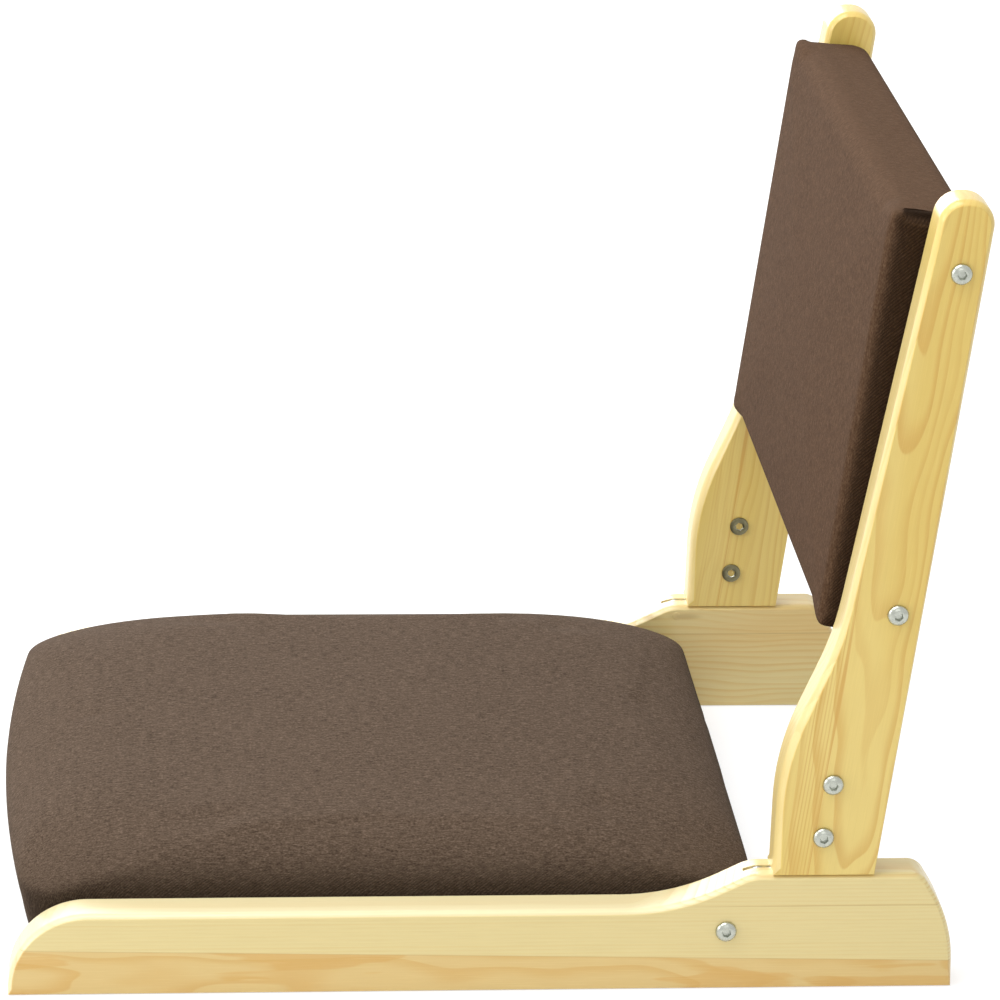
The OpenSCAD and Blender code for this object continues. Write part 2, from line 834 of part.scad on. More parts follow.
seat_form = [seat_half_w, seat_half_l, seat_corner_r, seat_side_round, seat_front_round, seat_bow,
    seat_side_drop, seat_board_z - seat_hem_z, arm_h - seat_board_z, seat_edge_z - seat_board_z,
    seat_crown_z - seat_board_z, 0, seat_rear_round, seat_corner_growth, seat_tuck];
pad_form = [pad_half_w, pad_half_l, pad_corner_r, pad_side_round, pad_end_round, 0,
    rebate_depth - soft_gap, pad_rear_drop, pad_edge_rise / 3, pad_edge_rise, pad_crown_rise,
    pad_lip - soft_gap, pad_end_round, 0, 0];

module cover_skin(form) {
    between(crowned(form, 0), crowned(form, cover_t), form[10], form[10] - cover_t);
}

// Foam inside a cover: its underside rests on the board, and its lips reach down round it
module foam_block(form, hollow_half_w, hollow_half_l, hollow_r) {
    shrink = cover_t + soft_gap;
    hem = form[6] - soft_gap;
    end_hem = form[7] - cover_t - 2 * soft_gap;
    hem_r = max(0, form[11] - 2 * cover_t);
    inner = concat(
        [ring(hollow_half_w, hollow_half_l, hollow_r, -hem, -end_hem, 0, form[14] / 2)],
        [for (share = hollow_shares)
            ring(hollow_half_w * share, hollow_half_l * share, hollow_r * share, 0, 0, 0, form[14] / 2)]);
    tuck = form[14] + min(form[14], 2 * soft_gap);
    foam_form = [for (i = [0:len(form) - 1])
        i == 6 ? hem : i == 7 ? end_hem : i == 11 ? hem_r : i == 14 ? tuck : form[i]];
    between(crowned(foam_form, shrink), inner, form[10] - shrink, 0);
}

module at_seat() {
    translate([0, seat_mid_y, seat_board_z])
        children();
}

module at_pad() {
    along_upright()
        translate([0, pad_low_w + pad_half_l, pad_board_v])
            children();
}

module seat_cover() {
    color(brown) at_seat() cover_skin(seat_form);
}

module seat_foam() {
    hollow_in = seat_board_in - soft_gap;
    color(foam) at_seat()
        foam_block(seat_form, seat_half_w - hollow_in, seat_half_l - seat_tuck / 2 - hollow_in,
            seat_board_corner_r - hollow_in);
}

module back_cover() {
    color(brown) at_pad() cover_skin(pad_form);
}

module back_foam() {
    lip_x = back_board_half_w - rebate_depth + soft_gap;
    color(foam) at_pad()
        foam_block(pad_form, lip_x, pad_half_l - pad_lip + soft_gap, 3 * soft_gap);
}

module back_lining() {
    half_l = pad_half_l - pad_lip;
    color(brown) at_pad()
        translate([-back_board_half_w, -half_l, -pad_rear_drop])
            cube([2 * back_board_half_w, 2 * half_l, cover_t]);
}

module back_board() {
    half_l = pad_half_l - pad_lip;
    rebate = rebate_depth;
    color(plywood) difference() {
        at_pad()
            difference() {
                rounded_plate(back_board_half_w, half_l, back_board_corner_r, back_board_t);
                for (side = [-1, 1])
                    translate([side * back_board_half_w - rebate, -half_l - cut, -rebate])
                        cube([2 * rebate, 2 * half_l + 2 * cut, rebate + cut]);
            }
        both_sides()
            for (p = back_bolt_places) {
                across(p[0], p[1], back_board_half_w - insert_len)
                    cylinder(h = insert_len + cut, r = insert_d / 2);
                across(p[0], p[1], chair_w / 2 - back_bolt_len - cut)
                    cylinder(h = back_bolt_len, r = bolt_d / 2 + hole_fit);
            }
    }
}

left_rail();
right_rail();
left_upright();
right_upright();
left_hinge_tongue();
right_hinge_tongue();
left_hinge_pin();
right_hinge_pin();
hinge_pin_plugs();
hinge_bolts();
hinge_sleeve_nuts();
back_bolts();
back_insert_nuts();
back_board();
back_foam();
back_cover();
back_lining();
seat_front_beam();
seat_rear_beam();
seat_board();
seat_board_screws();
seat_dowels();
seat_bolts();
seat_barrel_nuts();
seat_foam();
seat_cover();
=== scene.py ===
import math

import bpy
import numpy as np
from mathutils import Matrix, Vector


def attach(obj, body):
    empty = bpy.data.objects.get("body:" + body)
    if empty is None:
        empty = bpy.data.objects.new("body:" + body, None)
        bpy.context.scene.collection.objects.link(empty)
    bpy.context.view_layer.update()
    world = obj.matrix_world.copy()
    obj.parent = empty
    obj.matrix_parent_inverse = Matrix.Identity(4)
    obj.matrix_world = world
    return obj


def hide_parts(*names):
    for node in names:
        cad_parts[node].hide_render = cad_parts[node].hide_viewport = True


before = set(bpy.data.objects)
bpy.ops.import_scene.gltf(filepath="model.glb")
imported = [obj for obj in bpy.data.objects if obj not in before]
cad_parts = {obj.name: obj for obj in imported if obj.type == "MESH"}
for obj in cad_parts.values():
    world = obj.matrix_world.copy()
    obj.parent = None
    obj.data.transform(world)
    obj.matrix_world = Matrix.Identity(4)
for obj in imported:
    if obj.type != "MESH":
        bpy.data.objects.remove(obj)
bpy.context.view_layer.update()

MM = 0.001
REAR_Y = 249.25
LEAN = math.radians(7.05)
FOOT_REAR_U = 43.5
BLOCK_H = 63.9
RAIL_OUT_X = 210.0
RAIL_IN_X = 185.0
RAIL_H = 44.4
PIN_U = 102.9
PIN_Z = 57.9
CUSHION_HALF_W = 184.65
# The fabric stops just short of the rails and uprights
FABRIC_LIMIT = 184.62


# Shader helpers

def operation(kind, turned=False):
    def run(self, other):
        return self.shader.math(kind, *((other, self) if turned else (self, other)))
    return run


class Value:
    """A shader's socket that can be added, multiplied and so on as a number can."""

    def __init__(self, shader, socket):
        self.shader, self.socket = shader, socket

    __add__, __radd__ = operation("ADD"), operation("ADD", True)
    __sub__, __rsub__ = operation("SUBTRACT"), operation("SUBTRACT", True)
    __mul__, __rmul__ = operation("MULTIPLY"), operation("MULTIPLY", True)
    __truediv__ = operation("DIVIDE")

    def __abs__(self):
        return self.shader.math("ABSOLUTE", self)


class Shader:
    """A node tree with short ways to add nodes."""

    def __init__(self, owner, output="ShaderNodeOutputMaterial"):
        owner.use_nodes = True
        self.owner, self.tree = owner, owner.node_tree
        self.tree.nodes.clear()
        self.out = self.tree.nodes.new(output)

    def put(self, socket, value):
        if isinstance(value, Value):
            value = value.socket
        if isinstance(value, bpy.types.NodeSocket):
            self.tree.links.new(value, socket)
        elif isinstance(value, tuple) and len(value) == 3 and socket.type == "RGBA":
            socket.default_value = (*value, 1.0)
        else:
            socket.default_value = value

    def node(self, kind, inputs=None, **settings):
        """Adds a node; inputs are by name or by number."""
        n = self.tree.nodes.new(kind)
        for key, value in settings.items():
            setattr(n, key, value)
        for key, value in (inputs or {}).items():
            self.put(n.inputs[key], value)
        return n

    def math(self, kind, a, b=None):
        inputs = {0: a} if b is None else {0: a, 1: b}
        return Value(self, self.node("ShaderNodeMath", inputs, operation=kind).outputs[0])

    def vector(self, kind, a, b):
        return self.node("ShaderNodeVectorMath", {0: a, 1: b}, operation=kind).outputs[0]

    def combine(self, x, y, z):
        return self.node("ShaderNodeCombineXYZ", {"X": x, "Y": y, "Z": z}).outputs[0]

    def split(self, v):
        outputs = self.node("ShaderNodeSeparateXYZ", {"Vector": v}).outputs
        return [Value(self, outputs[k]) for k in range(3)]

    def attribute(self, name):
        return self.node("ShaderNodeAttribute", attribute_name=name).outputs

    def place(self):
        """The point in millimetres in the part's own frame, at rest."""
        here = self.node("ShaderNodeTexCoord").outputs["Object"]
        return self.vector("MULTIPLY", here, (1000.0, 1000.0, 1000.0))

    def noise(self, vector, scale=1.0, detail=2.0, rough=0.5):
        n = self.node("ShaderNodeTexNoise", {"Vector": vector, "Scale": scale, "Detail": detail,
                                             "Roughness": rough})
        return Value(self, n.outputs["Fac"])

    def smooth(self, value, low, high, out_low=0.0, out_high=1.0):
        n = self.node("ShaderNodeMapRange",
                      {"Value": value, "From Min": low, "From Max": high, "To Min": out_low,
                       "To Max": out_high}, interpolation_type="SMOOTHSTEP")
        return Value(self, n.outputs["Result"])

    def mix(self, share, a, b):
        return self.node("ShaderNodeMix", {0: share, 6: a, 7: b}, data_type="RGBA").outputs[2]

    def ramp(self, value, stops):
        n = self.node("ShaderNodeValToRGB", {0: value})
        while len(n.color_ramp.elements) < len(stops):
            n.color_ramp.elements.new(0.5)
        for element, (at, colour) in zip(n.color_ramp.elements, stops):
            element.position = at
            element.color = (*colour, 1.0)
        return n.outputs[0]

    def bump(self, height, distance, strength):
        return self.node("ShaderNodeBump", {"Height": height, "Distance": distance,
                                            "Strength": strength}).outputs[0]

    def surface(self, **inputs):
        names = {"colour": "Base Color", "specular": "Specular IOR Level", "sheen": "Sheen Weight",
                 "coat": "Coat Weight"}
        shader = self.node("ShaderNodeBsdfPrincipled",
                           {names.get(key, key.replace("_", " ").title()): value
                            for key, value in inputs.items()})
        self.put(self.out.inputs[0], shader.outputs[0])
        return self.owner

    def seen(self):
        """1 where the camera looks, also by way of a gloss or through glass."""
        path = self.node("ShaderNodeLightPath").outputs
        by_way = self.math("MAXIMUM", path["Is Glossy Ray"], path["Is Transmission Ray"])
        return self.math("MAXIMUM", path["Is Camera Ray"], by_way)

    def choose(self, share, a, b):
        """Shows shader b where share is 1, and a elsewhere."""
        mixed = self.node("ShaderNodeMixShader", {0: share, 1: a, 2: b})
        self.put(self.out.inputs[0], mixed.outputs[0])
        return self.owner


def material(name):
    return Shader(bpy.data.materials.new(name))


# Wood

# Light wood, darker wood and the rings' late wood
RAIL_TONES = ((0.755, 0.624, 0.283), (0.715, 0.515, 0.195), (0.64, 0.365, 0.075))
UPRIGHT_TONES = ((0.790, 0.600, 0.180), (0.740, 0.530, 0.125), (0.62, 0.350, 0.055))
# Paler tone for the narrow faces: partly their own cut-face tone, partly a painted highlight for
# the light on the tops and fronts
NARROW_FACE_TONE_AND_HIGHLIGHT = (0.84, 0.74, 0.46)
FLAME_TONE = (0.66, 0.37, 0.075)
RESIN_TONE = (0.62, 0.33, 0.055)
DARK_RING_TONE = (0.50, 0.32, 0.10)
KNOT_TONE = (0.42, 0.27, 0.085)
GLUE_TONE = (0.45, 0.27, 0.08)


def pine(name, upright, seed, pith, spacing, contrast, strip_line=None, knots=()):
    """Pine. Rings run round a pith line that is tilted to the board; pith is the (across, deep,
    tilt across, tilt deep) of that line in millimetres, and spacing is the rings' distance.
    strip_line is the (height, rise) of the glue line between a rail's two strips, and knots are
    (along, wide, half length, half height)."""
    s = material(name)
    tone_light, tone_mid, tone_dark = UPRIGHT_TONES if upright else RAIL_TONES
    x, y, z = s.split(s.place())
    if upright:
        u = REAR_Y - FOOT_REAR_U - y
        h = z - BLOCK_H
        along = h * math.cos(LEAN) - u * math.sin(LEAN)
        wide = u * math.cos(LEAN) + h * math.sin(LEAN)
    else:
        along = REAR_Y - y
        wide = z
    deep = abs(x) - RAIL_IN_X
    shifted = along + seed * 137.0
    slow = s.combine(shifted * 0.006, wide * 0.022, deep * 0.022)
    wave_a = (s.noise(slow) - 0.5) * 22.0
    wave_b = (s.noise(s.vector("ADD", slow, (7.3, 2.1, 5.9)), 1.3) - 0.5) * 16.0
    across = wide - (along * pith[2] + pith[0]) + wave_a
    depth = deep - (along * pith[3] + pith[1]) + wave_b
    ring = s.math("SQRT", across * across + depth * depth) / spacing
    if strip_line is not None:
        # The upper strip is quarter-sawn: its rings stand nearly square to the face
        line = along * strip_line[1] + strip_line[0]
        above = s.math("GREATER_THAN", wide, line)
        below = 1.0 - above
        ring = ((wide + wave_b * 0.05) / 2.2 + deep * 0.05) * above + ring * below
    saw = s.math("FRACT", ring)
    edge = s.smooth(deep, 0.1, 0.5) * s.smooth(deep, 24.5, 24.9, 1.0, 0.0)
    ring_tone = s.noise(s.combine(s.math("FLOOR", ring), 3.7, seed), 1.9, 0.0)
    late = s.smooth(saw, 0.35, 0.9) * s.smooth(saw, 0.93, 1.0, 1.0, 0.0) \
        * s.smooth(ring_tone, 0.3, 0.7, 0.35, 1.0)
    if strip_line is not None:
        late = late * (1.0 - above * (0.8 - edge * 0.5))
    # The boards' narrow faces are cut along the rings and show hardly any of them
    flat_cut = edge if upright else edge * s.smooth(along, 130.0, 165.0)
    late = late * contrast * (1.0 - flat_cut * 0.7)
    fibre = s.noise(s.combine(shifted * 0.035, wide * 1.6, deep * 1.6), 1.0, 3.0, 0.6)
    if strip_line is None:
        patch = s.noise(s.combine(shifted * 0.004, wide * 0.03, deep * 0.03), 1.0, 1.0)
        colour = s.mix(s.smooth(patch, 0.3, 0.7), tone_light, tone_mid)
    else:
        # Orange flames, where the saw cut the lower strip's rings flat
        flame = s.noise(s.combine(shifted * 0.013, wide * 0.10, deep * 0.02), 1.0, 2.0, 0.45)
        colour = s.mix(s.smooth(flame, 0.53, 0.57) * below * 0.55,
                       s.mix(above, tone_mid, tone_light), FLAME_TONE)
    if upright:
        # Fine straight rings by the front edge, and one resinous streak beside them
        place = wide + wave_b * 0.09
        fine = place / 1.8
        fine_saw = s.math("FRACT", fine)
        fine_tone = s.noise(s.combine(s.math("FLOOR", fine), 1.3, seed), 1.7, 0.0)
        lines = s.smooth(fine_saw, 0.45, 0.85) * s.smooth(fine_saw, 0.9, 1.0, 1.0, 0.0) \
            * s.smooth(fine_tone, 0.35, 0.65, 0.2, 1.0) * s.smooth(wide, 33.0, 36.0) \
            * s.smooth(wide, 46.0, 50.0, 1.0, 0.0) * s.smooth(along, 120.0, 260.0, 0.62, 0.15)
        swell = s.smooth(abs((along - 100.0) / 46.0), 0.0, 1.0, 1.0, 0.0) * 0.9
        streak = s.smooth(abs(place - 35.0) / (swell + 0.35), 0.5, 1.2, 0.75, 0.0) \
            * s.smooth(along, 110.0, 230.0, 1.0, 0.0)
        colour = s.mix(s.math("MAXIMUM", lines, streak) * (1.0 - edge), colour, RESIN_TONE)
        # Painted highlight: the narrow faces are made paler, most near the foot and less towards
        # the top, for the light on the fronts
        pale_and_highlight = edge * s.smooth(along, 290.0, 345.0, 0.5, 0.1)
    else:
        # Painted highlight: the narrow faces are made paler forward of the rear block, for the
        # light on the top and the nose
        pale_and_highlight = edge * s.smooth(along, 80.0, 150.0)
        # One dark ring stands out in the upper strip, below the rear block's top
        dark_ring = s.smooth(abs(wide - (wave_b * 0.08 + 46.6)), 0.15, 0.5, 0.55, 0.0) \
            * s.smooth(along, 95.0, 150.0, 1.0, 0.0)
        colour = s.mix(dark_ring, colour, DARK_RING_TONE)
    # The narrow faces get their paler tone, partly their own and partly painted highlight
    colour = s.mix(pale_and_highlight * 0.75, colour, NARROW_FACE_TONE_AND_HIGHLIGHT)
    colour = s.mix(late, colour, tone_dark)
    colour = s.mix(s.smooth(fibre, 0.45, 0.75) * 0.16, colour, tuple(c * 0.86 for c in tone_mid))
    colour = s.mix(s.smooth(fibre, 0.25, 0.5, 1.0, 0.0) * 0.22, colour,
                   tuple(min(0.9, c * 1.12) for c in tone_light))
    for knot_along, knot_wide, half_l, half_h in knots:
        da, dw = (along - knot_along) / half_l, (wide - knot_wide) / half_h
        far = s.math("SQRT", da * da + dw * dw)
        colour = s.mix(s.smooth(far, 0.2, 1.0, 1.0, 0.0) * 0.5, colour, KNOT_TONE)
    if strip_line is not None:
        colour = s.mix(s.smooth(abs(wide - line), 0.1, 0.35, 0.3, 0.0), colour, GLUE_TONE)
    pores = s.noise(s.combine(shifted * 0.09, wide * 4.0, deep * 4.0), 1.0, 2.0, 0.6)
    return s.surface(colour=colour, roughness=s.smooth(fibre, 0.2, 0.8, 0.34, 0.46),
                     normal=s.bump(pores * 0.6 + late * 0.6, 0.00012, 0.5), coat=0.5,
                     coat_roughness=0.2)


def plain_wood(name, light, dark, ply=None):
    """Wood that is hidden inside or under the chair; ply is the thickness of two of plywood's
    layers in millimetres."""
    s = material(name)
    x, y, z = s.split(s.place())
    fine = s.noise(s.combine(x * 0.03, y * 0.9, z * 0.9), 1.0, 4.0, 0.6)
    colour = s.mix(s.smooth(fine, 0.3, 0.7), light, dark)
    if ply is not None:
        band = s.math("GREATER_THAN", s.math("FRACT", z / ply), 0.5)
        colour = s.mix(band * 0.35, colour, dark)
    return s.surface(colour=colour, roughness=s.smooth(fine, 0.2, 0.8, 0.55, 0.7),
                     normal=s.bump(fine, 0.00015, 0.5))


# Metal

def metal(name, tone, low, high, seed):
    """Metal whose roughness goes from low to high in soft clouds."""
    s = material(name)
    p = s.place()
    cloud = s.noise(s.vector("ADD", p, (seed, 2.0, 5.0)), 0.55, 3.0)
    fine = s.noise(p, 7.0, 3.0, 0.6)
    return s.surface(colour=s.mix(s.smooth(cloud, 0.3, 0.7), tone, tuple(c * 0.86 for c in tone)),
                     metallic=1.0, roughness=s.smooth(cloud, 0.3, 0.7, low, high) + fine * 0.06,
                     normal=s.bump(fine, 0.00003, 0.6))


# Fabric

def fabric(name, dark, mid, light, sheen, wide, slope, shade):
    """Woven melange, with painted shade and painted highlight. The mesh holds the fabric's own
    coordinates in millimetres as a vector, with X across the slubs, Y along them and in Z the
    share of painted shade where the fabric turns to the sides, where the twill also shows; and a
    float that is 1 for painted shade in a fold and below 0 for a painted highlight where the top
    faces the light. wide is how close the slubs lie, slope is the twill's lean, 1 or -1, and shade
    is how much the painted shade darkens the fabric's sides."""
    s = material(name)
    tx, ty, side = s.split(s.attribute("thread")["Vector"])
    fold = Value(s, s.attribute("crease")["Fac"])
    slub = s.noise(s.combine(tx * wide, ty * 0.17, 0.0), 1.0, 3.0, 0.66)
    slub_fine = s.noise(s.combine(tx * (wide * 2.2), ty * 0.55, 9.0), 1.0, 2.0, 0.6)
    fleck = s.noise(s.combine(tx * 0.9, ty * 0.8, 4.0), 1.0, 2.0, 0.6)
    cloud = s.noise(s.combine(tx * 0.03, ty * 0.02, 2.0))
    colour = s.ramp(slub * 0.38 + slub_fine * 0.32 + fleck * 0.30,
                    [(0.40, dark), (0.5, mid), (0.60, light)])
    colour = s.mix(s.smooth(cloud, 0.3, 0.7, 0.0, 0.10), colour, light)
    speck = s.smooth(s.noise(s.combine(tx * 0.55, ty * 0.45, 17.0), 1.0, 1.0), 0.70, 0.78)
    colour = s.mix(speck * 0.5, colour, light)
    # Twill: fine diagonal ribs, which show in colour only on the sides, as the painted shade there
    # is lighter on the ribs
    rib = s.smooth(s.math("SINE", (tx * slope + ty) * (2.0 * math.pi / 2.2)), -0.7, 0.8)
    shown = rib * s.smooth(fleck, 0.3, 0.6, 0.35, 1.0) * side
    # Painted shade: the sides, where the fabric turns away from the light, are darkened, and more
    # so between the twill's ribs
    colour = s.mix(side * (shade * 0.85), colour, tuple(c * 0.4 for c in dark))
    colour = s.mix((side - shown) * (shade * 0.75), colour, tuple(c * 0.3 for c in dark))
    # Painted shade in folds, and a painted highlight where the value is below 0
    colour = s.mix(fold * 0.8, colour, tuple(c * 0.25 for c in dark))
    colour = s.mix(fold * -1.0, colour, light)
    weave = s.math("SINE", tx * (2.0 * math.pi / 0.9)) * s.math("SINE", ty * (2.0 * math.pi / 0.9))
    height = weave * 0.15 + (slub_fine * 0.7 + slub * 0.6) + shown * 0.8
    return s.surface(colour=colour, roughness=s.smooth(fleck, 0.2, 0.8, 0.84, 0.96),
                     normal=s.bump(height, 0.0007, 0.6), specular=0.06, sheen=sheen,
                     sheen_roughness=0.4, sheen_tint=(0.60, 0.46, 0.38))


# Mesh helpers

def mesh_object(name, points, faces, look=None, smooth=True):
    mesh = bpy.data.meshes.new(name)
    mesh.from_pydata([tuple(p) for p in points], [], [tuple(f) for f in faces])
    mesh.update()
    mesh.polygons.foreach_set("use_smooth", [smooth] * len(mesh.polygons))
    obj = bpy.data.objects.new(name, mesh)
    bpy.context.scene.collection.objects.link(obj)
    if look is not None:
        mesh.materials.append(look)
    return obj


def ring_point(side, t, a, b, r):
    """Point of a rounded rectangle. side 0 faces +X, 1 +Y, 2 -X, 3 -Y, each from the middle of one
    corner to the middle of the next as t goes from -1 to 1. Also the outward direction."""
    half = (b if side % 2 == 0 else a) - r
    arc = r * math.pi / 4
    s = t * (half + arc)
    if abs(s) <= half:
        x, y, turn = r, s, 0.0
    else:
        turn = math.copysign((abs(s) - half) / max(r, 1e-9), s)
        x, y = r * math.cos(turn), math.copysign(half, s) + r * math.sin(turn)
    x += (a if side % 2 == 0 else b) - r
    angle = side * math.pi / 2
    c, n = math.cos(angle), math.sin(angle)
    return x * c - y * n, x * n + y * c, turn + angle


def ring(count, a, b, r):
    """Points round a rounded rectangle, count to a side, with their outward directions."""
    return [ring_point(side, -1 + 2 * i / count, a, b, r)
            for side in range(4) for i in range(count)]


class Form:
    """The crowned form of a cushion, as in the solid's own source, in millimetres."""

    bow = lip = growth = tuck = 0.0

    def __init__(self, **sizes):
        self.__dict__.update(sizes)

    def hem_share(self, angle, y):
        """0 on the long sides, 1 on the ends; it rises quickly within a corner's turn. Where the
        rails' noses slope away, the skirt already reaches down in front of the front beam."""
        from_side = abs(math.atan2(math.sin(angle), math.cos(angle)))
        from_side = min(from_side, math.pi - from_side)
        share = min(1.0, max(0.0, (from_side / (math.pi / 2) - 0.6) * 5))
        if self.tuck > 0:
            ahead = min(1.0, max(0.0, (-y - 154.0) / 12.0))
            share = max(share, ahead * ahead * (3 - 2 * ahead))
        return share

    def bowed(self, x, y, a, bow):
        return y - (bow * (1 - (x / a) ** 2) if y < 0 else 0.0)

    def outer(self, count, low_rings, side_rings, round_rings, shrink):
        """Rings from the hem up over the rounded edges, then the crown's rings, which get smaller
        by one grid step each and so end in a point."""
        a, b, r = self.half_w - shrink, self.half_l - shrink, self.corner_r - shrink
        edge, crown = self.edge - shrink, self.crown - shrink
        middle_in = (self.front_round + self.rear_round) / 2
        middle_y = (self.front_round - self.rear_round) / 2
        rings = []
        if self.lip > 0:
            for k in range(low_rings):
                angle = math.pi / 2 * k / low_rings
                in_y = self.lip * (1 - math.sin(angle))
                rise = self.lip * (1 - math.cos(angle))
                rings.append([(x, y, -self.side_hem + (self.side_hem - self.end_hem + rise)
                               * self.hem_share(g, y))
                              for x, y, g in ring(count, a, b - in_y, r)])
        for k in range(side_rings):
            share = k / side_rings
            level = []
            for x, y, g in ring(count, a, b, r):
                h = self.hem_share(g, y)
                low = -self.side_hem + (self.side_hem - self.end_hem + self.lip) * h
                lean = self.tuck * h * (1 - share) if y < 0 else 0.0
                level.append((x, self.bowed(x, y, a, self.bow) + lean,
                              low + (self.shoulder - low) * share))
            rings.append(level)
        for k in range(round_rings):
            angle = math.pi / 2 * k / (round_rings - 1)
            share = 1 - math.cos(angle)
            z = self.shoulder + (edge - self.shoulder) * math.sin(angle)
            ra = a - self.side_round * share
            rings.append([(x, self.bowed(x, y, ra, self.bow) + middle_y * share, z)
                          for x, y, g in ring(count, ra, b - middle_in * share,
                                              r + self.growth * math.sin(angle))])
        last = (a - self.side_round, b - middle_in, r + self.growth)
        top = []
        for k in range(count // 2 - 1, 0, -1):
            share = 2 * k / count
            z = crown + (edge - crown) * share * share
            ra = last[0] * share
            top.append([(x, self.bowed(x, y, ra, self.bow * share) + middle_y, z)
                        for x, y, g in ring(2 * k, ra, last[1] * share, last[2] * share)])
        return rings, top, (0.0, middle_y, crown)


def add_cap(points, faces, outer_start, count, levels, tip):
    """Closes a ring of points with a square grid's rings, each with 8 points fewer."""
    for level in levels:
        start, m = len(points), len(level) // 4
        points.extend(level)
        for side in range(4):
            for i in range(count):
                o0 = outer_start + side * count + i
                o1 = outer_start + (side * count + i + 1) % (4 * count)
                if i == 0:
                    faces.append((o0, o1, start + side * m,
                                  outer_start + (side * count - 1) % (4 * count)))
                elif i < count - 1:
                    faces.append((o0, o1, start + (side * m + i) % (4 * m),
                                  start + side * m + i - 1))
        outer_start, count = start, m
    points.append(tip)
    for side in range(4):
        i = outer_start + side * count
        faces.append((i, i + 1, len(points) - 1, outer_start + (side * count - 1) % (4 * count)))


def cushion_mesh(name, form, count, low_rings, side_rings, round_rings, shrink, hollow):
    """Closed cushion: its outer form, and inside it the hollow that takes the board. hollow is the
    board's (half width, half length, corner radius, depth of its walls, shift to the rear)."""
    rings, top, tip = form.outer(count, low_rings, side_rings, round_rings, shrink)
    n = 4 * count
    points = [p for level in rings for p in level]
    faces = []
    for k in range(len(rings) - 1):
        for i in range(n):
            j = (i + 1) % n
            faces.append((k * n + i, k * n + j, (k + 1) * n + j, (k + 1) * n + i))
    add_cap(points, faces, (len(rings) - 1) * n, count, top, tip)
    # Hollow underneath
    half_w, half_l, r, top_z, back_y = hollow
    wall = len(points)
    low = [(x, y + back_y,
            -form.side_hem + (form.side_hem - form.end_hem) * form.hem_share(g, y + back_y) + 0.3)
           for x, y, g in ring(count, half_w, half_l, r)]
    high = [(x, y + back_y, top_z) for x, y, g in ring(count, half_w, half_l, r)]
    points.extend(low)
    points.extend(high)
    for i in range(n):
        j = (i + 1) % n
        faces.append((j, i, wall + i, wall + j))
        faces.append((wall + j, wall + i, wall + n + i, wall + n + j))
    under = [[(x * 2 * k / count, y * 2 * k / count + back_y, top_z) for x, y, g in
              ring(2 * k, half_w, half_l, r)] for k in range(count // 2 - 1, 0, -1)]
    first = len(faces)
    add_cap(points, faces, wall + n, count, under, (0.0, back_y, top_z))
    faces[first:] = [tuple(reversed(f)) for f in faces[first:]]
    obj = mesh_object(name, np.array(points) * MM, faces)
    held = list(range(n)) + list(range(wall, wall + 2 * n))
    return obj, held


def inflate(obj, held, pressure, stiffness, cap):
    """A cloth simulation blows the cover up from inside; each point then moves cap at most, and
    none inwards."""
    rest = coordinates(obj)
    group = obj.vertex_groups.new(name="held")
    group.add(held, 1.0, "REPLACE")
    cloth = obj.modifiers.new("cloth", "CLOTH")
    c = cloth.settings
    c.quality = 6
    c.mass = 0.25
    c.tension_stiffness = stiffness
    c.compression_stiffness = stiffness
    c.shear_stiffness = stiffness
    c.bending_stiffness = 2.0
    c.use_pressure = True
    c.uniform_pressure_force = pressure
    c.effector_weights.gravity = 0.0
    c.vertex_group_mass = "held"
    cloth.collision_settings.use_self_collision = False
    scene = bpy.context.scene
    scene.frame_set(0)
    frames = 20
    cloth.point_cache.frame_start = 1
    cloth.point_cache.frame_end = frames
    for f in range(1, frames + 1):
        scene.frame_set(f)
    swollen = coordinates(obj.evaluated_get(bpy.context.evaluated_depsgraph_get()))
    obj.modifiers.remove(cloth)
    obj.vertex_groups.clear()
    scene.frame_set(1)
    move = swollen - rest
    out = normals(obj)
    along_out = (move * out).sum(1)
    move -= np.minimum(along_out, 0.0)[:, None] * out
    far = np.linalg.norm(move, axis=1)
    move *= np.minimum(1.0, cap / np.maximum(far, 1e-9))[:, None]
    set_coordinates(obj, rest + move)


def subdivide(obj, levels):
    sub = obj.modifiers.new("sub", "SUBSURF")
    sub.levels = levels
    sub.render_levels = levels
    dg = bpy.context.evaluated_depsgraph_get()
    mesh = bpy.data.meshes.new_from_object(obj.evaluated_get(dg))
    obj.modifiers.remove(sub)
    old = obj.data
    obj.data = mesh
    bpy.data.meshes.remove(old)
    mesh.name = obj.name
    mesh.polygons.foreach_set("use_smooth", [True] * len(mesh.polygons))


def read(items, key):
    values = np.empty(len(items) * 3)
    items.foreach_get(key, values)
    return values.reshape(-1, 3)


def coordinates(obj):
    return read(obj.data.vertices, "co")


def set_coordinates(obj, co):
    obj.data.vertices.foreach_set("co", np.asarray(co, np.float32).ravel())
    obj.data.update()


def normals(obj):
    return read(obj.data.vertex_normals, "vector")


def grade(value, start, width):
    """0 up to start, and 1 from width beyond it."""
    return np.clip((value - start) / width, 0, 1)


def keep_thread_and_shading(obj, thread, crease):
    """Puts the fabric's own coordinates and its painted shade and highlight on the mesh, as
    fabric() reads them.
    """
    attribute = obj.data.attributes.new("thread", "FLOAT_VECTOR", "POINT")
    attribute.data.foreach_set("vector", np.asarray(thread, np.float32).ravel())
    attribute = obj.data.attributes.new("crease", "FLOAT", "POINT")
    attribute.data.foreach_set("value", np.asarray(crease, np.float32))


# Smooth shading for the CAD nodes, whose meshes stay as they are

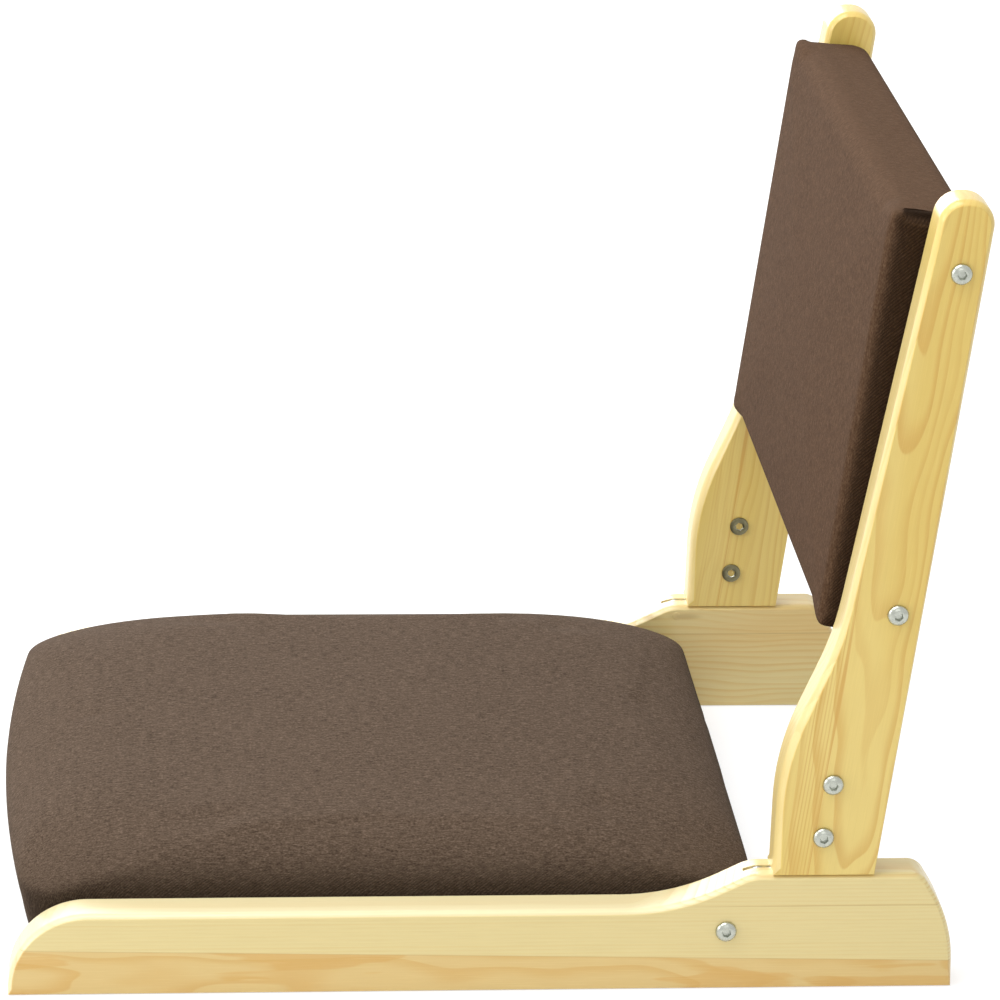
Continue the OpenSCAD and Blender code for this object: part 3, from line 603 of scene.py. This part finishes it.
def make_tidy_shading():
    tree = bpy.data.node_groups.new("tidy_shading", "GeometryNodeTree")
    for way in ("INPUT", "OUTPUT"):
        tree.interface.new_socket("Geometry", in_out=way, socket_type="NodeSocketGeometry")
    mesh = tree.nodes.new("NodeGroupInput").outputs[0]
    for kind, name, value in (("GeometryNodeMergeByDistance", "Distance", 1e-6),
                              ("GeometryNodeRemoveAttribute", "Name", "custom_normal"),
                              ("GeometryNodeSetShadeSmooth", "Shade Smooth", True),
                              ("GeometryNodeSetShadeSmooth", "Shade Smooth", False)):
        step = tree.nodes.new(kind)
        step.inputs[name].default_value = value
        tree.links.new(mesh, step.inputs["Geometry"])
        mesh = step.outputs[0]
    # The last step is for the sharp edges
    step.domain = "EDGE"
    angle = tree.nodes.new("GeometryNodeInputMeshEdgeAngle")
    sharp = tree.nodes.new("FunctionNodeCompare")
    sharp.data_type = "FLOAT"
    sharp.operation = "GREATER_THAN"
    sharp.inputs[1].default_value = math.radians(30)
    tree.links.new(angle.outputs["Unsigned Angle"], sharp.inputs[0])
    tree.links.new(sharp.outputs[0], step.inputs["Selection"])
    tree.links.new(mesh, tree.nodes.new("NodeGroupOutput").inputs[0])
    return tree


tidy_shading = make_tidy_shading()


def shade_tidily(obj):
    obj.modifiers.new("tidy", "NODES").node_group = tidy_shading


def dress(node, look):
    """Gives a CAD node its material and smooth shading."""
    obj = bpy.data.objects[node]
    if not obj.material_slots:
        obj.data.materials.append(look)
    for slot in obj.material_slots:
        slot.material = look
    shade_tidily(obj)


# Materials

pine_left_rail = pine("pine_left_rail", False, 1.0, (6.0, -16.0, 0.006, 0.016), 3.4, 0.75,
                      strip_line=(14.9, 0.0209))
pine_right_rail = pine("pine_right_rail", False, 4.0, (-30.0, 40.0, 0.01, 0.01), 3.0, 0.45,
                       knots=((122.0, 57.0, 14.0, 2.6), (98.0, 57.5, 13.0, 2.8)))
pine_left_upright = pine("pine_left_upright", True, 2.0, (25.0, -8.0, 0.02, 0.055), 3.6, 0.7)
pine_right_upright = pine("pine_right_upright", True, 7.0, (60.0, 30.0, -0.02, 0.03), 3.2, 0.5)
pine_beam = pine("pine_beam", False, 11.0, (-20.0, -60.0, 0.01, 0.02), 3.2, 0.5)
plywood = plain_wood("plywood", (0.64, 0.50, 0.31), (0.50, 0.36, 0.20), ply=1.5)
beech = plain_wood("beech", (0.68, 0.52, 0.34), (0.58, 0.42, 0.26))
zinc = metal("zinc", (0.50, 0.52, 0.46), 0.18, 0.30, 1.0)
plain_steel = metal("plain_steel", (0.60, 0.61, 0.62), 0.30, 0.42, 3.0)
bronzed = metal("bronzed", (0.20, 0.185, 0.11), 0.30, 0.42, 6.0)
seat_fabric = fabric("seat_fabric", (0.047, 0.031, 0.020), (0.093, 0.063, 0.043),
                     (0.162, 0.114, 0.081), 0.03, 0.62, 1.0, 0.5)
back_fabric = fabric("back_fabric", (0.0515, 0.0275, 0.0138), (0.082, 0.0445, 0.0248),
                     (0.129, 0.075, 0.044), 0.02, 0.5, -1.0, 0.75)

dress("seat_front_beam", pine_beam)
dress("seat_rear_beam", pine_beam)
dress("seat_board", plywood)
dress("back_board", plywood)
dress("seat_dowels", beech)
dress("seat_board_screws", zinc)
for node in ("left_hinge_tongue", "right_hinge_tongue", "left_hinge_pin", "right_hinge_pin",
             "seat_barrel_nuts"):
    dress(node, plain_steel)
dress("back_insert_nuts", bronzed)


# Rails and uprights: the solids' own outlines with finer bends and finely rounded edges

def bent_outline(corners, step=2.5):
    """Points of an outline that runs clockwise in u and z: (point, outward direction, inset of
    its mitre, ease radius). corners are (u, z, bend radius, ease radius)."""
    out = []
    n = len(corners)
    for i in range(n):
        before, here, after = (np.array(corners[(i + k) % n], float) for k in (-1, 0, 1))
        p = here[:2]
        e1 = (p - before[:2]) / np.linalg.norm(p - before[:2])
        e2 = (after[:2] - p) / np.linalg.norm(after[:2] - p)
        n1, n2 = np.array([-e1[1], e1[0]]), np.array([-e2[1], e2[0]])
        if here[2] == 0:
            mitre = -(n1 + n2) / (1 + n1 @ n2)
            out += [(p, n1, mitre, here[3]), (p, n2, mitre, here[3])]
            continue
        half = math.acos(np.clip(-e1 @ e2, -1, 1)) / 2
        reach = here[2] / math.tan(half)
        middle = p + (e2 - e1) / np.linalg.norm(e2 - e1) * here[2] / math.sin(half)
        sign = 1.0 if (p - e1 * reach - middle) @ n1 > 0 else -1.0
        a1, a2 = math.atan2(*(sign * n1)[::-1]), math.atan2(*(sign * n2)[::-1])
        turn = (a2 - a1 + math.pi) % (2 * math.pi) - math.pi
        steps = max(2, math.ceil(abs(math.degrees(turn)) / step))
        for k in range(steps + 1):
            a = a1 + turn * k / steps
            radial = np.array([math.cos(a), math.sin(a)])
            out.append((middle + radial * here[2], sign * radial, -sign * radial, here[3]))
    return out


def cut_outline(outline, u, high):
    """Adds a point at u on the outline's upper edge."""
    for i, (p, n, m, e) in enumerate(outline):
        q, n2, m2, e2 = outline[(i + 1) % len(outline)]
        if min(p[0], q[0]) < u < max(p[0], q[0]) and min(p[1], q[1]) > high:
            t = (u - p[0]) / (q[0] - p[0])
            outline.insert(i + 1, (p + (q - p) * t, n + (n2 - n) * t, m + (m2 - m) * t,
                                   e + (e2 - e) * t))
            return


def board_piece(name, corners, side, body, node, look, slit=None):
    """A board with rounded edges. slit is the (rear u, front u, half width, floor's height) of the
    slit in its upper edge."""
    outline = bent_outline(corners)
    mid_x = (RAIL_IN_X + RAIL_OUT_X) / 2
    if slit is not None:
        rear_u, front_u, half_w, low_z = slit
        cut_outline(outline, rear_u, low_z)
        cut_outline(outline, front_u, low_z)
    n = len(outline)
    points, directions, faces = [], [], []

    def add(x, u, z, dx, du, dz):
        points.append((side * x, REAR_Y - u, z))
        directions.append((side * dx, -du, dz))
        return len(points) - 1

    def face(*f):
        faces.append(tuple(f) if side > 0 else tuple(reversed(f)))

    # The rounded edges meet the board's faces in a fine crisp line
    start = math.radians(32)
    steps = 6
    angles = [start + (math.pi / 2 - start) * k / steps for k in range(steps + 1)]
    rise = 1 / (1 - math.sin(start))
    inner_face = [add(RAIL_IN_X, *(p + m * e), -1.0, 0, 0) for p, d, m, e in outline]
    outer_face = [add(RAIL_OUT_X, *(p + m * e), 1.0, 0, 0) for p, d, m, e in outline]

    def eased(face_x, way, a):
        return [add(face_x - way * e * rise * (math.cos(start) - math.cos(a)),
                    *(p + m * e * rise * (1 - math.sin(a))),
                    way * math.cos(a), *(d * math.sin(a))) for p, d, m, e in outline]

    rings = [eased(RAIL_IN_X, -1, a) for a in angles]
    if slit is not None:
        for x in (mid_x - half_w, mid_x + half_w):
            rings.append([add(x, *p, 0.0, *d) for p, d, m, e in outline])
    rings += [eased(RAIL_OUT_X, 1, a) for a in reversed(angles)]
    slit_at = set()
    for i in range(n):
        j = (i + 1) % n
        p, q = outline[i][0], outline[j][0]
        if slit is not None and min(p[1], q[1]) > low_z and min(p[0], q[0]) > rear_u - 0.01 \
                and max(p[0], q[0]) < front_u + 0.01:
            slit_at.add(i)
        if np.linalg.norm(q - p) < 1e-9:
            continue
        for k in range(len(rings) - 1):
            if i not in slit_at or k != steps + 1:
                face(rings[k][i], rings[k][j], rings[k + 1][j], rings[k + 1][i])
    if slit is not None:
        for i in sorted(slit_at):
            p, q = outline[i][0], outline[(i + 1) % n][0]
            for x, dx in ((mid_x - half_w, 1.0), (mid_x + half_w, -1.0)):
                a, b = add(x, *p, dx, 0, 0), add(x, *q, dx, 0, 0)
                c, d = add(x, q[0], low_z, dx, 0, 0), add(x, p[0], low_z, dx, 0, 0)
                face(*((a, b, c, d) if dx > 0 else (d, c, b, a)))
            face(*(add(x, u, low_z, 0, 0, 1)
                   for x, u in ((mid_x - half_w, q[0]), (mid_x + half_w, q[0]),
                                (mid_x + half_w, p[0]), (mid_x - half_w, p[0]))))
        ends = [outline[min(slit_at)][0], outline[(max(slit_at) + 1) % n][0]]
        for p, du in ((ends[0], 1.0), (ends[1], -1.0)):
            a, b, c, d = (add(mid_x + way * half_w, p[0], z, 0, du, 0)
                          for way, z in ((-1, p[1]), (1, p[1]), (1, low_z), (-1, low_z)))
            face(*((a, d, c, b) if du > 0 else (a, b, c, d)))
    apart = [i for i in range(n) if np.linalg.norm(outline[i][0] - outline[i - 1][0]) > 1e-9]
    face(*(inner_face[i] for i in reversed(apart)))
    face(*(outer_face[i] for i in apart))
    obj = mesh_object(name, np.array(points) * MM, faces, look)
    length = np.linalg.norm(directions, axis=1)[:, None]
    obj.data.normals_split_custom_set_from_vertices((np.array(directions) / length).tolist())
    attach(obj, body)
    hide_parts(node)


FOOT_FRONT_U = 96.4
UPRIGHT_TOP_Z = 427.0
RAIL_EASE = 2.3
# Corners of the two outlines: u, height, bend radius and ease radius
rail_corners = [(492.0, 0.0, 0.0, 0.8), (0.0, 0.0, 0.0, 0.8), (0.0, 34.5, 80.0, RAIL_EASE),
                (18.0, BLOCK_H, 10.0, RAIL_EASE), (107.0, BLOCK_H, 24.0, RAIL_EASE),
                (146.5, RAIL_H, 112.0, RAIL_EASE), (492.0, RAIL_H, 41.0, RAIL_EASE)]
top_rear_u = FOOT_REAR_U - (UPRIGHT_TOP_Z - BLOCK_H) * math.tan(LEAN)
NECK_H = 126.2
neck_rear_u = FOOT_REAR_U - NECK_H * math.tan(LEAN)
upright_corners = [(FOOT_FRONT_U, BLOCK_H, 0.0, 0.5), (FOOT_REAR_U, BLOCK_H, 0.0, 0.5),
                   (top_rear_u, UPRIGHT_TOP_Z, 13.4, 2.6),
                   (top_rear_u + 28.3, UPRIGHT_TOP_Z, 13.4, 2.6),
                   (neck_rear_u + 40.5, BLOCK_H + NECK_H, 170.0, 2.8),
                   (FOOT_FRONT_U - 0.9, BLOCK_H + 64.3, 140.0, 3.4),
                   (FOOT_FRONT_U, BLOCK_H + 4.0, 0.0, 4.0)]
slit = (70.4, 110.9, 1.65, 51.8)
board_piece("left_rail_board", rail_corners, 1, "base", "left_rail", pine_left_rail, slit)
board_piece("right_rail_board", rail_corners, -1, "base", "right_rail", pine_right_rail, slit)
board_piece("left_upright_board", upright_corners, 1, "backrest", "left_upright",
            pine_left_upright)
board_piece("right_upright_board", upright_corners, -1, "backrest", "right_upright",
            pine_right_upright)


# Fasteners

SEGMENTS = 48


def turned(profile, hexagon=(), segments=SEGMENTS):
    """Closed solid of revolution from (radius, height) pairs, from its lower end to its upper.
    The rings whose numbers are in hexagon get six flats in place of a circle."""
    points, faces = [(0.0, 0.0, profile[0][1])], []
    for k, (radius, height) in enumerate(profile):
        for i in range(segments):
            angle = 2 * math.pi * i / segments
            r = radius
            if k in hexagon:
                near = (angle + math.pi / 6) % (math.pi / 3) - math.pi / 6
                r = radius * math.cos(math.pi / 6) / math.cos(near)
            points.append((r * math.cos(angle), r * math.sin(angle), height))
    last = len(profile) - 1
    points.append((0.0, 0.0, profile[last][1] - 0.15))
    for i in range(segments):
        j = (i + 1) % segments
        faces.append((0, 1 + j, 1 + i))
        for k in range(last):
            a, b = 1 + k * segments, 1 + (k + 1) * segments
            faces.append((a + i, a + j, b + j, b + i))
        faces.append((1 + last * segments + i, 1 + last * segments + j, len(points) - 1))
    return points, faces


def button_bolt(length):
    """A socket button-head bolt; length is from under its head to its end."""
    head_r, head_h, rim_h, hex_r = 5.5, 3.2, 0.7, 2.3
    profile = [(2.3, -length), (2.94, -length + 0.7), (2.94, 0.0), (5.3, 0.0), (5.46, 0.12),
               (head_r, 0.35), (head_r, rim_h)]
    dome = math.radians(57.6)
    for k in range(1, 9):
        angle = dome * k / 8
        profile.append((head_r * math.cos(angle),
                        rim_h + (head_h - rim_h) * math.sin(angle) / math.sin(dome)))
    top = len(profile)
    profile += [(2.78, head_h), (hex_r + 0.12, head_h - 0.12), (hex_r, head_h - 0.35),
                (hex_r, head_h - 1.9), (hex_r * 0.9, head_h - 2.1)]
    return turned(profile, hexagon=range(top + 1, top + 5))


def sleeve_nut():
    profile = [(3.0, -9.8), (4.0, -9.8), (4.18, -9.5), (4.18, 0.0), (5.3, 0.0), (5.46, 0.15),
               (5.5, 0.4), (5.48, 0.8), (5.3, 1.15), (4.9, 1.38), (3.2, 1.4), (2.75, 1.32)]
    top = len(profile)
    profile += [(2.5, 1.1), (2.3, 0.9), (2.3, -0.6), (2.0, -0.8)]
    return turned(profile, hexagon=range(top, top + 4)), top


def fastener_set(name, node, body, shape, places, face_x, way, look, second=None,
                 second_from=0):
    """Copies of one fastener on both sides of the chair, as one piece that stands for the node.
    Its second material begins at the profile's ring second_from."""
    points, faces = shape
    all_points, all_faces, marks = [], [], []
    for side in (1.0, -1.0):
        for u, z in places:
            start = len(all_points)
            spin = 0.35 * len(all_points) / len(points) + 0.2
            for px, py, pz in points:
                qx = px * math.cos(spin) - py * math.sin(spin)
                qy = px * math.sin(spin) + py * math.cos(spin)
                all_points.append(((side * (face_x + way * pz)) * MM, (REAR_Y - u + qx) * MM,
                                   (z + side * way * qy) * MM))
            for f in faces:
                all_faces.append(tuple(start + i for i in f))
                marks.append(int(min(i for i in f if i) > second_from * SEGMENTS))
    obj = mesh_object(name, all_points, all_faces, look)
    if second is not None:
        obj.data.materials.append(second)
        obj.data.polygons.foreach_set("material_index", marks)
    shade_tidily(obj)
    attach(obj, body)
    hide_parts(node)


def on_upright(v, w):
    """u and height of the point v forward of the upright's rear edge and w up along it."""
    return (FOOT_REAR_U + v * math.cos(LEAN) - w * math.sin(LEAN),
            BLOCK_H + v * math.sin(LEAN) + w * math.cos(LEAN))


hinge_places = [on_upright(30.2, w) for w in (17.9, 47.7)]
back_places = [on_upright(13.0, w) for w in (143.9, 326.4)]
for name, node, body, length, places in (
        ("hinge_bolt_set", "hinge_bolts", "backrest", 21.0, hinge_places),
        ("back_bolt_set", "back_bolts", "backrest", 39.0, back_places),
        ("seat_bolt_set", "seat_bolts", "base", 52.0, [(119.9, 32.8)])):
    fastener_set(name, node, body, button_bolt(length), places, RAIL_OUT_X, 1.0, zinc)
nut_shape, nut_top = sleeve_nut()
fastener_set("hinge_sleeve_nut_set", "hinge_sleeve_nuts", "backrest", nut_shape, hinge_places,
             RAIL_IN_X, -1.0, bronzed, second=zinc, second_from=nut_top)


def pin_plugs():
    """Low domed plugs over the hinge pins, flush with the rails' inner faces."""
    points, faces = turned([(2.5, -3.9), (2.5, -0.05), (2.42, 0.04), (2.1, 0.1), (1.2, 0.14)],
                           segments=32)
    for name, side, look in (("left_pin_plug", 1.0, pine_left_rail),
                             ("right_pin_plug", -1.0, pine_right_rail)):
        placed = [(side * (RAIL_IN_X - pz) * MM, (REAR_Y - PIN_U + px) * MM,
                   (PIN_Z + side * py) * MM) for px, py, pz in points]
        obj = mesh_object(name, placed, faces, look)
        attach(obj, "base")
        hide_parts("hinge_pin_plugs")


pin_plugs()


# Seat

SEAT_MID_Y = -44.0
SEAT_BOARD_Z = 50.0
seat_form = Form(half_w=CUSHION_HALF_W, half_l=193.25, corner_r=20.0, side_round=34.0,
                 front_round=62.0, rear_round=44.0, bow=12.0, side_hem=8.65, end_hem=36.0,
                 shoulder=-5.6, edge=22.0, crown=25.5, growth=64.0, tuck=7.0)
seat_pad, seat_held = cushion_mesh("seat_pad", seat_form, 56, 0, 6, 12, 1.4,
                                   (181.0, 186.1, 37.0, 0.05, 3.5))
inflate(seat_pad, seat_held, 1.2, 12.0, 0.0026)
subdivide(seat_pad, 1)
co = coordinates(seat_pad)
between_rails = co[:, 2] < (RAIL_H - SEAT_BOARD_Z + 1.0) * MM
co[between_rails, 0] = np.clip(co[between_rails, 0], -FABRIC_LIMIT * MM, FABRIC_LIMIT * MM)
co += np.array([0.0, SEAT_MID_Y, SEAT_BOARD_Z]) * MM
set_coordinates(seat_pad, co)
p = co * 1000
# The threads run on over the edges and down the sides
drop = np.maximum(0.0, 73.0 - p[:, 2])
side_turn = grade(np.abs(p[:, 0]), 140.0, 44.0) ** 2
end_turn = grade(np.abs(p[:, 1] - SEAT_MID_Y), 130.0, 60.0) ** 2
no = normals(seat_pad)
# Round the front corners the slubs bend down to the side
near_front = grade(-p[:, 1], 196.0, 50.0)
near_side = grade(np.abs(p[:, 0]), 80.0, 100.0)
bend = 9.0 * near_front ** 2 * near_side
thread = np.stack([p[:, 0] + np.sign(p[:, 0]) * (drop * side_turn - bend),
                   p[:, 1] + np.sign(p[:, 1] - SEAT_MID_Y) * drop * end_turn,
                   # Third: the share of painted shade where the cover turns down to the sides and
                   # the rear
                   np.clip((0.86 - no[:, 2]) / 0.66, 0, 1) ** 1.3
                   * np.clip(np.maximum(np.abs(no[:, 0]), no[:, 1] * 0.7) * 1.6, 0, 1)],
                  axis=1)
keep_thread_and_shading(seat_pad, thread, np.zeros(len(p)))
seat_pad.data.materials.append(seat_fabric)
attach(seat_pad, "base")
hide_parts("seat_cover", "seat_foam")


# Back pad

PAD_BOARD_V = 22.0
PAD_LOW_W = 121.0
PAD_HALF_L = 113.48
PAD_EDGE_Z = 26.7
pad_form = Form(half_w=CUSHION_HALF_W, half_l=PAD_HALF_L, corner_r=3.6, side_round=7.5,
                front_round=10.0, rear_round=12.0, side_hem=2.95, end_hem=18.8,
                shoulder=PAD_EDGE_Z / 2, edge=PAD_EDGE_Z, crown=30.2, lip=8.1)
back_pad, _ = cushion_mesh("back_pad", pad_form, 72, 3, 6, 9, 1.0,
                           (182.6, 103.85, 3.0, 0.05, 0.0))
subdivide(back_pad, 1)
co = coordinates(back_pad)
co[:, 0] = np.clip(co[:, 0], -FABRIC_LIMIT * MM, FABRIC_LIMIT * MM)
p = co * 1000
# Towards the two sides, where the fabric is pulled tight, the long edges get sharp
share = grade(np.abs(p[:, 0]), 150.0, 34.0) ** 1.5
bend_r = 12.5
off_y = np.abs(p[:, 1]) - (PAD_HALF_L - bend_r)
off_z = p[:, 2] - (PAD_EDGE_Z - bend_r)
rho = np.maximum(np.hypot(off_y, off_z), 1e-6)
power = 2.0 + 5.5 * share
grown = (np.abs(off_y / rho) ** power + np.abs(off_z / rho) ** power) ** (-1.0 / power)
grown = np.where((off_y > 0) & (off_z > 0), grown, 1.0)
co[:, 1] += np.sign(p[:, 1]) * off_y * (grown - 1.0) * MM
co[:, 2] += off_z * (grown - 1.0) * MM
p = co * 1000
# The fabric is folded in at the top corners: a hollow fold that runs back from the front edge
fold = np.exp(-((p[:, 1] - 110.0 - 0.10 * p[:, 2]) / 2.5) ** 4)
fold *= grade(np.abs(p[:, 0]), 174.0, 3.0) * np.clip((20.0 - p[:, 2]) / 2.5, 0, 1)
fold *= grade(p[:, 2], -14.0, 4.0)
FOLD_DEPTH = 5.5
co[:, 0] -= np.sign(co[:, 0]) * FOLD_DEPTH * MM * fold
set_coordinates(back_pad, co)
no = normals(back_pad)
drop = np.maximum(0.0, 28.0 - p[:, 2])
side_turn = grade(np.abs(p[:, 0]), 165.0, 18.0)
end_turn = grade(np.abs(p[:, 1]), 96.0, 16.0)
thread = np.stack([p[:, 0] + np.sign(p[:, 0]) * drop * side_turn,
                   p[:, 1] + np.sign(p[:, 1]) * drop * end_turn * (1 - side_turn),
                   # Third: the share of painted shade where the cover turns to the sides
                   np.clip((0.7 - no[:, 2]) / 0.4, 0, 1) * np.clip(np.abs(no[:, 0]) * 1.5, 0, 1)],
                  axis=1)
# Painted shade in the corner folds, and a painted highlight on the pad's top, which faces up to
# the light
keep_thread_and_shading(back_pad, thread, fold - 0.35 * np.clip(no[:, 1], 0, 1) * (1 - fold))
up = Vector((0.0, math.sin(LEAN), math.cos(LEAN)))
forward = Vector((0.0, -math.cos(LEAN), math.sin(LEAN)))
u0, z0 = on_upright(PAD_BOARD_V, PAD_LOW_W + PAD_HALF_L)
pad_place = Matrix(((1.0, 0.0, 0.0, 0.0),
                    (0.0, up[1], forward[1], (REAR_Y - u0) * MM),
                    (0.0, up[2], forward[2], z0 * MM),
                    (0.0, 0.0, 0.0, 1.0)))
back_pad.data.transform(pad_place)
back_pad.data.materials.append(back_fabric)
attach(back_pad, "backrest")
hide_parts("back_cover", "back_foam")


# Lining on the rear of the back pad: one stretched sheet, stapled round its edge, so it dips a
# little between the staples and rises to a low turned hem

def back_lining():
    half_w, half_l, low, thick = 184.6, 103.4, -18.8, 0.75
    nx, ny = 148, 84
    points, faces = [], []
    for face_z in (0, 1):
        for j in range(ny + 1):
            for i in range(nx + 1):
                x, y = half_w * (2 * i / nx - 1), half_l * (2 * j / ny - 1)
                edge = min(half_w - abs(x), half_l - abs(y))
                hem = 0.12 * (math.tanh((8.0 - edge) / 1.2) + 1) / 2
                ripple = 0.05 * math.sin((x if half_l - abs(y) < half_w - abs(x) else y) * 0.35) \
                    * math.exp(-((edge - 8.0) / 7.0) ** 2)
                sag = 0.10 * (1 - (x / half_w) ** 2) * (1 - (y / half_l) ** 2)
                outer = low + 0.14 - hem + ripple + sag
                points.append((x, y, outer if face_z == 0 else low + thick))
    row = nx + 1
    first = row * (ny + 1)
    for j in range(ny):
        for i in range(nx):
            a = j * row + i
            faces.append((a, a + row, a + row + 1, a + 1))
            faces.append((first + a, first + a + 1, first + a + row + 1, first + a + row))
    rim = [*range(nx), *range(nx, first - 1, row), *range(first - 1, first - row, -1),
           *range(first - row, 0, -row)]
    for a, b in zip(rim, rim[1:] + rim[:1]):
        faces.append((a, b, first + b, first + a))
    obj = mesh_object("back_lining_sheet", np.array(points) * MM, faces, back_fabric)
    q = np.array(points)
    keep_thread_and_shading(obj, np.stack([q[:, 0], q[:, 1], np.zeros(len(q))], axis=1), np.zeros(len(q)))
    obj.data.transform(pad_place)
    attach(obj, "backrest")
    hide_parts("back_lining")


back_lining()


# Floor, light and camera

FLOOR_GLOW = 0.62
WORLD_LIGHT = 0.64
WHITE = (1.0, 1.0, 1.0)


def stage_floor():
    s = material("floor")
    grain = s.mix(s.noise(s.place(), 0.004, 1.0), (0.50, 0.50, 0.50), (0.52, 0.52, 0.52))
    dim = s.node("ShaderNodeBsdfDiffuse", {"Color": grain})
    glow = s.node("ShaderNodeEmission", {"Color": WHITE, "Strength": FLOOR_GLOW})
    bright = s.node("ShaderNodeAddShader", {0: dim.outputs[0], 1: glow.outputs[0]})
    plain = s.node("ShaderNodeBsdfDiffuse", {"Color": (0.8, 0.8, 0.8)})
    look = s.choose(s.seen(), plain.outputs[0], bright.outputs[0])
    size = 6.0
    floor = mesh_object("floor", [(-size, -size, 0), (size, -size, 0), (size, size, 0),
                                  (-size, size, 0)], [(0, 1, 2, 3)], look, smooth=False)
    floor.location.z = -0.0002


def light_world():
    world = bpy.data.worlds.new("studio")
    bpy.context.scene.world = world
    s = Shader(world, "ShaderNodeOutputWorld")
    soft, bright = (s.node("ShaderNodeBackground", {"Color": WHITE, "Strength": strength})
                    for strength in (WORLD_LIGHT, 1.0))
    s.choose(s.seen(), soft.outputs[0], bright.outputs[0])


stage_floor()
light_world()


def area_light(name, place, target, size, power):
    data = bpy.data.lights.new(name, "AREA")
    data.energy = power
    data.size = size
    obj = bpy.data.objects.new(name, data)
    obj.location = place
    direction = Vector(target) - Vector(place)
    obj.rotation_euler = direction.to_track_quat("-Z", "Y").to_euler()
    bpy.context.scene.collection.objects.link(obj)


area_light("top_box", (0.3, -0.7, 2.2), (0, 0, 0.1), 1.6, 35.0)
area_light("front_box", (0.7, -2.4, 1.0), (0, 0, 0.2), 1.2, 21.0)
area_light("side_box", (2.6, 0.2, 1.6), (0, 0, 0.2), 1.4, 5.0)
area_light("far_box", (-2.2, -0.5, 0.95), (0, 0, 0.1), 1.5, 30.0)


def photo_camera(azimuth, elevation, roll, distance, lens, target):
    """A camera that looks at target from azimuth and elevation, in degrees, and leans by roll."""
    data = bpy.data.cameras.new("camera")
    data.sensor_width = 36.0
    data.lens = lens
    data.clip_end = 50.0
    camera = bpy.data.objects.new("camera", data)
    azimuth, elevation, roll = (math.radians(v) for v in (azimuth, elevation, roll))
    back = Vector((math.sin(azimuth) * math.cos(elevation),
                   -math.cos(azimuth) * math.cos(elevation), math.sin(elevation)))
    level = (-back).cross(Vector((0, 0, 1))).normalized()
    upright = level.cross(-back)
    right = level * math.cos(roll) + upright * math.sin(roll)
    above = upright * math.cos(roll) - level * math.sin(roll)
    eye = target + back * distance
    camera.matrix_world = Matrix([(right[k], above[k], back[k], eye[k]) for k in range(3)]
                                 + [(0, 0, 0, 1)])
    bpy.context.scene.collection.objects.link(camera)
    bpy.context.scene.camera = camera


photo_camera(azimuth=85.18514, elevation=19.34842, roll=1.478858, distance=2.6095238,
             lens=171.2554, target=Vector((0.0, 0.0232837, 0.1968284)))
bpy.context.scene.view_settings.view_transform = "Standard"
